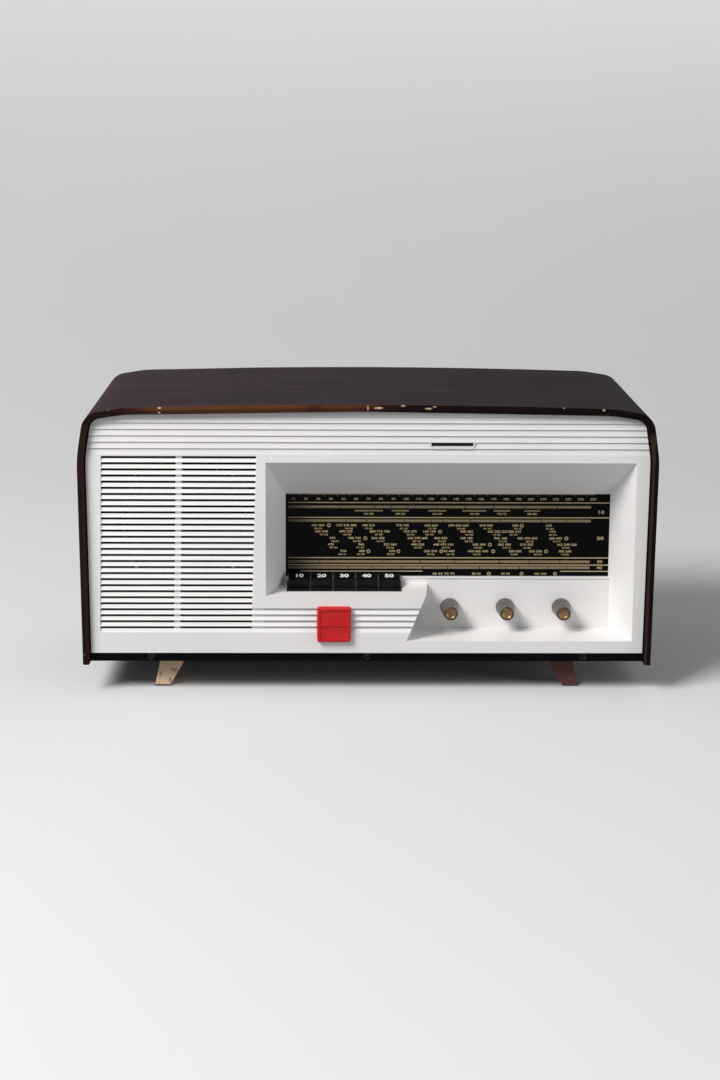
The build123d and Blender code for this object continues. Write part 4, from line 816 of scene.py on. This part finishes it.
def knob_sleeve(node):
    """radius = taper(y) - depth * flute wave, from base to tip, then over the rim into the disc's
    socket. A ring is its radius, its y and its share of the flutes' depth."""
    low, high, x, z = middle_of(node)
    base = (high.x - low.x) / 2
    t, depth = np.array([0, 0.02, 0.3, 0.6, 0.9, 0.96]), np.array([0.3, 1, 1, 1, 1, 0.4])
    flank = np.stack([base + (TIP_RADIUS - base) * t, high.y - t * (high.y - low.y), depth], -1)
    end = [[TIP_RADIUS - 0.25 * MM, low.y + 0.2 * MM, 0], [TIP_RADIUS - 0.6 * MM, low.y, 0],
           [5.15 * MM, low.y, 0], [5.12 * MM, low.y + SOCKET_DEPTH, 0],
           [2 * AXIS_GAP, low.y + SOCKET_DEPTH, 0]]
    rings = np.concatenate([[[BORE_RADIUS, high.y, 0]], flank, end])
    radius, y, depth = rings.T[:, :, None]
    angle = np.linspace(0, 2 * np.pi, FLUTES * FLUTE_STEPS, endpoint=False)
    radius = radius - FLUTE_DEPTH * depth * flute_wave(angle)
    return surface(turned(x, z, radius, y, angle), wrap=True)


def knob_disc(node):
    """A dish, depth * (1 - r cubed), inside a raised lip with a rounded outer edge."""
    low, high, x, z = middle_of(node)
    r = np.linspace(0.0, 1.0, 9)
    dish = np.stack([DISH_RADIUS * r, DISH_DEPTH * (1 - r ** 3)], -1)
    dish[0, 0] = AXIS_GAP
    lip = np.array([[4.45, 0.02], [4.75, 0.06], [5.0, 0.25], [5.06, 0.6], [5.06, 1.9]]) * MM
    radius, y = np.concatenate([dish, lip, [[AXIS_GAP, 1.9 * MM]]]).T[:, :, None]
    angle = np.linspace(0, 2 * np.pi, DISC_STEPS, endpoint=False)
    return surface(turned(x, z, radius, low.y + y, angle), wrap=True)


for control in ("volume", "tone", "tuning"):
    knob, body = control + "_knob", control + "_control"
    mesh = stand_in(control + "_sleeve", *knob_sleeve(knob), 50, body, sleeve, "knob_plastic", knob)
    mark_grooves(mesh, knob)
    stand_in(control + "_disc", *knob_disc(knob + "_cap"), 60, body, brass, "cap_brass",
             knob + "_cap")
    print(control, "knob done")

# %% [markdown]
# The badge is a bare red plate with rounded corners, a rim and a bar across its middle.

# %% Badge
BADGE_THICKNESS = 4.2 * MM
BADGE_FIELD_DEPTH = 0.9 * MM
RIM_INSIDE, RIM_OUTSIDE = 0.80, 0.83  # the rim's inner slope, in shares of the half size
BAR_OUTSIDE, BAR_INSIDE = 0.07, 0.09  # the bar's slope, counted from the middle


def badge_surface():
    """y(u, v) = front + edge roll-off + field depth: two fields are sunk inside the rim, above and
    below the bar. The outline's corners are pulled in where both u and v are large."""
    low, high, x, z = middle_of("front_badge")
    half = np.array([0, 0.03, BAR_OUTSIDE, BAR_INSIDE, 0.13, 0.3, 0.6, RIM_INSIDE, RIM_OUTSIDE,
                     0.87, 0.92, 0.96, 0.985, 1])
    steps = np.concatenate([-half[:0:-1], half])
    u, v = np.meshgrid(steps, steps)
    pull = 1 - 0.035 * (np.abs(u) * np.abs(v)) ** 8
    reach = np.maximum(np.abs(u), np.abs(v))
    roll = np.interp(reach, [0.92, 0.96, 0.985, 1.0], [0, 0.25, 0.8, 2.0]) * MM
    in_rim = np.interp(reach, [RIM_INSIDE, RIM_OUTSIDE], [1, 0])
    off_bar = np.interp(np.abs(v), [BAR_OUTSIDE, BAR_INSIDE], [0, 1])
    y = low.y + roll + BADGE_FIELD_DEPTH * in_rim * off_bar
    y = np.where(reach >= 0.999, low.y + BADGE_THICKNESS, y)
    wide, tall = (high.x - low.x) / 2, (high.z - low.z) / 2
    return surface(np.stack([x + wide * u * pull, y, z + tall * v * pull], -1))


red = Finish("red_badge", specular_ior_level=0.25, coat_weight=0.15, coat_roughness=0.1)
cloud = red.noise(120, 3)
red.wear(base_color=red.mix(cloud, (0.46, 0.006, 0.008), (0.62, 0.012, 0.014)),
         roughness=0.3 + cloud * 0.15)
red.bump(cloud, 0.04, 0.3 * MM)
badge = stand_in("badge_plate", *badge_surface(), 40, "cabinet", red, "red_badge", "front_badge")
print("badge faces", len(badge.polygons))

# %% [markdown]
# The dial is a black glass with gold lines, bars and figures. The glass is the CAD plate with a
# dark, hardly reflecting finish; the print is flat shapes a hair in front of it.

# %% Dial glass
DIAL_LEFT = -73.5 * MM
PRINT_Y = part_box("dial_glass")[0].y - 0.04 * MM
OVERPRINT_Y = PRINT_Y - 0.03 * MM
FADE_START, FADE_END = -74 * MM, -38 * MM


def print_finish(name, colour, fade):
    """Print with painted shade that darkens it towards the left end of the dial."""
    gold = Finish(name, roughness=0.5, specular_ior_level=0.2)
    # Painted shade towards the left end of the dial.
    shade = gold.axis(0).between(FADE_START, FADE_END) * (1 - fade) + fade
    mottle = gold.noise(500, 2)
    dark = tuple(c * 0.1 for c in colour)
    return gold.wear(base_color=gold.mix(shade * (0.8 + mottle * 0.35), dark, colour))


def dress(node, finish):
    """Gives a CAD node, as it is, a finish."""
    materials = frame["nodes"][node].data.materials
    materials.clear()
    materials.append(finish.material)


glass = Finish("dial_glass", roughness=0.1, specular_ior_level=0.05)
dust = glass.noise(300, 3)
glass.wear(base_color=glass.mix(dust, (0.0010, 0.0010, 0.0012), (0.0022, 0.0020, 0.0020)))
dress("dial_glass", glass)
gold_print = print_finish("dial_gold", (0.52, 0.41, 0.23), 0.3)
tan_print = print_finish("dial_tan", (0.245, 0.190, 0.115), 0.12)
print("print stands at", round(PRINT_Y / MM, 2), "mm")

# %% [markdown]
# The print starts with its ruling: thin gold lines, broken tan bands, small ticks under the top
# edge, groups of fine marks and three red ones. Each colour is one piece.

# %% Dial ruling
# In millimetres: heights above the table, the rest from the dial's left edge.
RULE_START, RULE_END, BAND_END = 3.0, 291.0, 273.0
RULE_HEIGHTS, RULE_WIDTH = (160.8, 147.2, 110.4, 103.9), 0.85
SHORT_RULES = ((3.0, 276.0, 168.4, 0.4), (13.8, 123.1, 98.1, 0.85), (246.4, 290.0, 98.1, 0.85))
BAND_WIDTH, BAND_GAP = 2.3, 0.3
BAND_BREAKS = {156.9: (48.6, 81.0, 94.7, 109.5, 135.7, 160.2, 185.7, 213.0, 242.6),
               144.3: (54.8, 72.7, 106.5, 130.6, 141.0, 165.4, 192.0, 228.6, 251.0),
               106.9: (31.6, 86.9, 120.8, 152.0, 192.0, 218.8, 246.0),
               101.4: (56.6, 78.0, 104.7, 123.4, 145.7, 174.2, 198.0, 209.9, 234.9, 252.0)}
SCALE_FIRST, SCALE_PITCH, SCALE_COUNT = 7.8, 11.11, 25
TICK_HALF, TICK_HEIGHT, TICK_LENGTH = 0.12, 167.4, 1.6
GROUPS = (74.9, 102.9, 135.9, 168.9, 193.4, 220.4)
GROUP_WIDTHS = (24.0, 15.0, 16.0, 21.0, 15.0, 14.0)
MARK_PITCH, MARK_WIDTH, MARK_HEIGHT, MARK_LENGTH = 0.85, 0.38, 153.4, 1.5
RED_STARTS, RED_LENGTH, RED_HEIGHT, RED_WIDTH = (87.5, 90.6, 93.7), 1.9, 106.9, 0.8


def strips_mesh(name, rectangles, y):
    """Flat upright rectangles on one plane: x0, x1, z0 and z1 become four corners each."""
    r = np.array(rectangles)
    corners = np.stack([r[:, [0, 1, 1, 0]], np.full((len(r), 4), y), r[:, [2, 2, 3, 3]]], -1)
    faces = np.arange(len(r) * 4).reshape(-1, 4).tolist()
    return faces_mesh(name, corners.reshape(-1, 3), faces, smooth=False)


def span(start, end, height, thickness):
    """A level strip from its two ends, the height of its middle and its thickness."""
    return (DIAL_LEFT + start * MM, DIAL_LEFT + end * MM, (height - thickness / 2) * MM,
            (height + thickness / 2) * MM)


gold_strips = [span(RULE_START, RULE_END, height, RULE_WIDTH) for height in RULE_HEIGHTS]
gold_strips += [span(*rule) for rule in SHORT_RULES]
tan_strips = [span(start + BAND_GAP, end - BAND_GAP, height, BAND_WIDTH)
              for height, breaks in BAND_BREAKS.items()
              for start, end in zip((RULE_START,) + breaks, breaks + (BAND_END,))]
ticks = [SCALE_FIRST + SCALE_PITCH * (k + 0.5) for k in range(SCALE_COUNT - 1)]
gold_strips += [span(x - TICK_HALF, x + TICK_HALF, TICK_HEIGHT, TICK_LENGTH) for x in ticks]
for middle, width in zip(GROUPS, GROUP_WIDTHS):
    marks = middle + np.arange(-width / 2, width / 2, MARK_PITCH)
    gold_strips += [span(x, x + MARK_WIDTH, MARK_HEIGHT, MARK_LENGTH) for x in marks]
red_marks = [span(x, x + RED_LENGTH, RED_HEIGHT, RED_WIDTH) for x in RED_STARTS]
red_print = Finish("dial_red", roughness=0.5)
red_print.wear(base_color=red_print.mix(red_print.noise(600), (0.30, 0.03, 0.02),
                                        (0.42, 0.05, 0.03)))
for strips, name, finish, y in ((gold_strips, "dial_lines", gold_print, PRINT_Y),
                                (tan_strips, "dial_bands", tan_print, PRINT_Y),
                                (red_marks, "dial_red_marks", red_print, OVERPRINT_Y)):
    new_piece(name, strips_mesh(name, strips, y), "cabinet", finish)
    print(name, len(strips), "strips")

# %% [markdown]
# Figures come from Blender's own font. Each becomes a mesh and is joined with the others, so that
# one piece holds a whole group of print.

# %% Figure helpers
DIAL_BOLD = 0.02  # share of a figure's size


def figure_points(text, size, bold):
    """Points and faces of a line of text, centred on zero, in its own plane."""
    curve = bpy.data.curves.new("figure", "FONT")
    curve.body = text
    curve.size = size
    curve.align_x = curve.align_y = "CENTER"
    curve.resolution_u = 3
    curve.offset = bold * size
    holder = bpy.data.objects.new("figure", curve)
    scene.collection.objects.link(holder)
    bpy.context.view_layer.update()
    evaluated = holder.evaluated_get(bpy.context.evaluated_depsgraph_get())
    mesh = bpy.data.meshes.new_from_object(evaluated)
    points = np.stack(vertex_axes(mesh)[:2], -1)
    faces = [list(p.vertices) for p in mesh.polygons]
    bpy.data.objects.remove(holder)
    bpy.data.curves.remove(curve)
    bpy.data.meshes.remove(mesh)
    return points, faces


def figures_mesh(name, entries, y, spread):
    """Figures on one upright plane: each entry is a text, x from the dial's edge, z and size."""
    points, faces = [], []
    for text, x, z, size in entries:
        flat, own = figure_points(text, size * MM, DIAL_BOLD)
        faces += moved(own, sum(len(p) for p in points))
        across = DIAL_LEFT + x * MM + flat[:, 0] * spread
        points.append(np.stack([across, np.full(len(flat), y), z * MM + flat[:, 1]], -1))
    return faces_mesh(name, np.concatenate(points), faces, smooth=False)


def rings_mesh(name, places, radius, width, y, steps=18):
    """Flat rings on the dial: two circles each, joined by quads."""
    angle = np.linspace(0, 2 * np.pi, steps, endpoint=False)
    x, z = (np.array(places) * MM).T[:, :, None, None]
    r = np.array([radius - width, radius])[None, :, None]
    grid = turned(DIAL_LEFT + x, z, r, y, angle)
    faces = [face for k in range(len(places))
             for face in grid_faces(2, steps, True, k * 2 * steps)]
    return faces_mesh(name, grid.reshape(-1, 3), faces, smooth=False)


# %% [markdown]
# The dial carries plain numbers only: tens along the top, and staggered columns with small rings
# in the middle. A remainder rule makes them look unrelated.

# %% Dial figures
COLUMN_COUNT, COLUMN_FIRST, COLUMN_PITCH, ROW_SHIFT = 9, 27.0, 25.6, 5.0
ROW_HEIGHTS = (140.0, 134.4, 128.3, 122.5, 116.4)
FIGURES_PER_WORD = (2, 1, 3, 2, 2, 1, 2, 3, 1, 2, 2)
SCALE_HEIGHT, SCALE_SIZE = 164.1, 2.9
GROUP_HEIGHT, GROUP_SIZE = 150.5, 2.3
WORD_SIZE, SMALL_SIZE, SMALL_DROP = 2.75, 1.9, 2.9
BAND_MARK_X, BAND_MARKS = 281.5, ((152.2, 4.0), (128.4, 4.0), (106.9, 3.2), (101.3, 3.2))
FOOT_HEIGHT = 95.8
FOOT_WORDS = (("60 65 70 75", 142.0, 2.6), ("80 85", 171.5, 2.2), ("90 95", 197.5, 2.2),
              ("100 105", 228.5, 2.2))
FOOT_RINGS = (182.6, 212.0, 242.0)
RING_RADIUS, RING_WIDTH = 1.65 * MM, 0.65 * MM


def column_place(column, row):
    """Each row stands a little further right, and sine waves make it uneven."""
    sway = 3.0 * math.sin(2.3 * column + 1.1) + 3.4 * math.sin(3.7 * row + 1.9 * column)
    return COLUMN_FIRST + COLUMN_PITCH * column + ROW_SHIFT * row + sway


scale_row = [(str(10 * (k + 1)), SCALE_FIRST + SCALE_PITCH * k, SCALE_HEIGHT, SCALE_SIZE)
             for k in range(SCALE_COUNT)]
words, small_words, rings = [], [], []
number = 5
for column in range(COLUMN_COUNT):
    for row, height in enumerate(ROW_HEIGHTS):
        number = (number * 37 + 113) % 1409
        x = column_place(column, row)
        count = FIGURES_PER_WORD[(7 * column + 4 * row) % len(FIGURES_PER_WORD)]
        figures = [str(150 + (number + 35 * k) % 840 // 5 * 5) for k in range(count)]
        words.append((" ".join(figures), x, height, WORD_SIZE))
        small_words.append(("%d %d" % (100 + number % 880, 100 + number * 7 % 880),
                            x + 2.2 - number % 4, height - SMALL_DROP, SMALL_SIZE))
        if (column + 3 * row) % 7 == 0 or (row == 4 and column % 2):
            rings.append((x + 3.9 * count + 1.9, height))
small_words += [("%d %d" % (560 + 48 * k, 580 + 48 * k), middle, GROUP_HEIGHT, GROUP_SIZE)
                for k, middle in enumerate(GROUPS)]
marks = [(str(10 * k + 10), BAND_MARK_X, height, size)
         for k, (height, size) in enumerate(BAND_MARKS)]
marks += [(text, x, FOOT_HEIGHT, size) for text, x, size in FOOT_WORDS]
rings += [(x, FOOT_HEIGHT) for x in FOOT_RINGS]
for name, entries, spread in (("dial_scale", scale_row, 1.25), ("dial_numbers", words, 1.3),
                              ("dial_small_numbers", small_words, 1.15),
                              ("dial_marks", marks, 1.6)):
    mesh = figures_mesh(name, entries, OVERPRINT_Y, spread)
    new_piece(name, mesh, "cabinet", gold_print)
    print(name, len(entries), "figures")
mesh = rings_mesh("dial_rings", rings, RING_RADIUS, RING_WIDTH, OVERPRINT_Y)
new_piece("dial_rings", mesh, "cabinet", gold_print)
print("dial_rings", len(rings), "rings")

# %% [markdown]
# The keys carry plain white numbers, laid a hair above the slope of their raised faces.

# %% Key numbers
FIGURE_SIZE, FIGURE_BOLD, FIGURE_SPREAD = 5.6 * MM, 0.035, 1.45
FIGURE_BEHIND, FIGURE_ABOVE = 0.6 * MM, 0.07 * MM  # from the middle of the raised face

ink = Finish("key_numbers", roughness=0.5)
ink.wear(base_color=ink.mix(ink.noise(800, 2).between(0.3, 0.6), (0.62, 0.62, 0.62),
                            (0.8, 0.8, 0.8)))
for number in KEYS:
    middle = middle_of("key_%d" % number)[2]
    flat, faces = figure_points(str(10 * number), FIGURE_SIZE, FIGURE_BOLD)
    slope = math.atan(KEY_SLOPE)
    y = (KEY_CREASE + KEY_BACK) / 2 + FIGURE_BEHIND
    z = KEY_CREASE_Z + (y - KEY_CREASE) * KEY_SLOPE + KEY_STEP + FIGURE_ABOVE
    points = np.stack([middle + flat[:, 0] * FIGURE_SPREAD, y + flat[:, 1] * math.cos(slope),
                       z + flat[:, 1] * math.sin(slope)], -1)
    name = "key_number_%d" % number
    label = new_piece(name, faces_mesh(name, points, faces, smooth=False), "key_body_%d" % number,
                      ink)
print("key numbers slope by", round(math.degrees(slope), 1), "degrees")

# %% [markdown]
# Everything else keeps its CAD shape. Each key here is the name of a material slot.

# %% Finishes of the inner pieces
PLAIN = {
    "raw_wood": ((0.36, 0.24, 0.13), (0.52, 0.37, 0.22), 0.6, {"scale": 60}),
    "white_sheet": ((0.66, 0.66, 0.64), (0.74, 0.74, 0.72), 0.4, {}),
    "pointer_paint": ((0.55, 0.03, 0.02), (0.66, 0.05, 0.03), 0.4, {}),
    "lamp_glass": ((0.75, 0.73, 0.66), (0.85, 0.83, 0.76), 0.08, {"depth": 0.01, "alpha": 0.6}),
    "drum_plastic": ((0.62, 0.56, 0.42), (0.70, 0.65, 0.50), 0.45, {}),
    "socket_bakelite": ((0.03, 0.02, 0.017), (0.06, 0.04, 0.03), 0.3, {}),
    "valve_glass": ((0.62, 0.65, 0.66), (0.75, 0.78, 0.78), 0.06, {"depth": 0.01, "alpha": 0.5}),
    "transformer_iron": ((0.07, 0.06, 0.055), (0.13, 0.11, 0.09), 0.4, {}),
    "speaker_steel": ((0.10, 0.105, 0.11), (0.14, 0.145, 0.15), 0.4, {}),
    "indicator_glass": ((0.02, 0.024, 0.022), (0.035, 0.04, 0.036), 0.1, {"depth": 0.01}),
    "ferrite": ((0.05, 0.05, 0.055), (0.08, 0.08, 0.085), 0.5, {}),
    "grommet_rubber": ((0.015, 0.015, 0.015), (0.03, 0.03, 0.03), 0.6, {}),
}
METAL = {
    "screw_steel": ((0.55, 0.54, 0.52), 0.3),
    "bright_steel": ((0.62, 0.62, 0.62), 0.2),
    "plated_steel": ((0.58, 0.57, 0.50), 0.33),
    "can_aluminium": ((0.74, 0.74, 0.75), 0.26),
}
BOARD = {
    "switch_laminate": ((0.22, 0.11, 0.04), (0.34, 0.19, 0.08), 0.45),
    "baffle_fibreboard": ((0.003, 0.003, 0.003), (0.007, 0.006, 0.006), 0.8),
    "cone_paper": ((0.008, 0.0075, 0.007), (0.018, 0.017, 0.016), 0.85),
    "back_fibreboard": ((0.17, 0.095, 0.048), (0.27, 0.165, 0.09), 0.65),
}
inner = {name: plain_finish(name, first, second, roughness, **more)
         for name, (first, second, roughness, more) in PLAIN.items()}
inner.update({name: metal_finish(name, *values) for name, values in METAL.items()})
inner.update({name: board_finish(name, *values) for name, values in BOARD.items()})
slots = {part["node"]: part["material_slot"] for part in frame["record"]["subparts"]}
dressed = [node for node, piece in frame["nodes"].items()
           if slots[node] in inner and not piece.hide_render]
for node in dressed:
    dress(node, inner[slots[node]])
print("inner pieces dressed", len(dressed))

# %% [markdown]
# The floor is a long pale sheet of paper: flat, then a quarter circle and up. It is paler up the
# wall, where it also glows for the camera. On the radio it throws back less than the camera sees.

# %% Floor
BEND_START, BEND_RADIUS = 0.7, 2.6
FLOOR_FRONT, WALL_TOP, HALF_SHEET = -6.0, 8.0, 9.0
WALL_FADE = 1.3  # the wall is at its palest from this height
PAPER_GREY, PAPER_PALE = (0.715, 0.717, 0.720), (0.740, 0.742, 0.745)
WALL_PALE, WALL_GLOW = (0.93, 0.932, 0.935), (0.17, 0.17, 0.172)
PAPER_UNSEEN = (0.34, 0.34, 0.35)


def floor_sheet():
    """A path of floor, quarter circle and wall, carried along X."""
    bend = np.linspace(0, np.pi / 2, 33)
    path_y = np.concatenate([[FLOOR_FRONT], BEND_START + BEND_RADIUS * np.sin(bend),
                             [BEND_START + BEND_RADIUS]])
    path_z = np.concatenate([[0.0], BEND_RADIUS * (1 - np.cos(bend)), [WALL_TOP]])
    sides = [-HALF_SHEET, HALF_SHEET]
    return surface(np.stack(np.broadcast_arrays(sides, path_y[:, None], path_z[:, None]), -1))


def paper_finish():
    paper = Finish("floor_paper", roughness=0.8, specular_ior_level=0.1, emission_strength=1.0)
    seen = paper.seen()
    wall = paper.axis(2).between(0.0, WALL_FADE)
    pale = paper.mix(paper.noise(3, 2), PAPER_GREY, PAPER_PALE)
    pale = paper.mix(wall, pale, WALL_PALE)
    glow = paper.mix(seen * wall, (0, 0, 0), WALL_GLOW)
    return paper.wear(base_color=paper.mix(seen, PAPER_UNSEEN, pale), emission_color=glow)


floor_mesh = faces_mesh("floor", *floor_sheet())
floor_mesh.materials.append(paper_finish().material)
floor = bpy.data.objects.new("floor", floor_mesh)
scene.collection.objects.link(floor)
floor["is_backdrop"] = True
print("floor faces", len(floor_mesh.polygons))

# %% [markdown]
# Last, the box of the dressed model is printed.

# %% Sizes and finish
low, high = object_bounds()
print("dressed box", [round(v, 4) for v in low], [round(v, 4) for v in high])
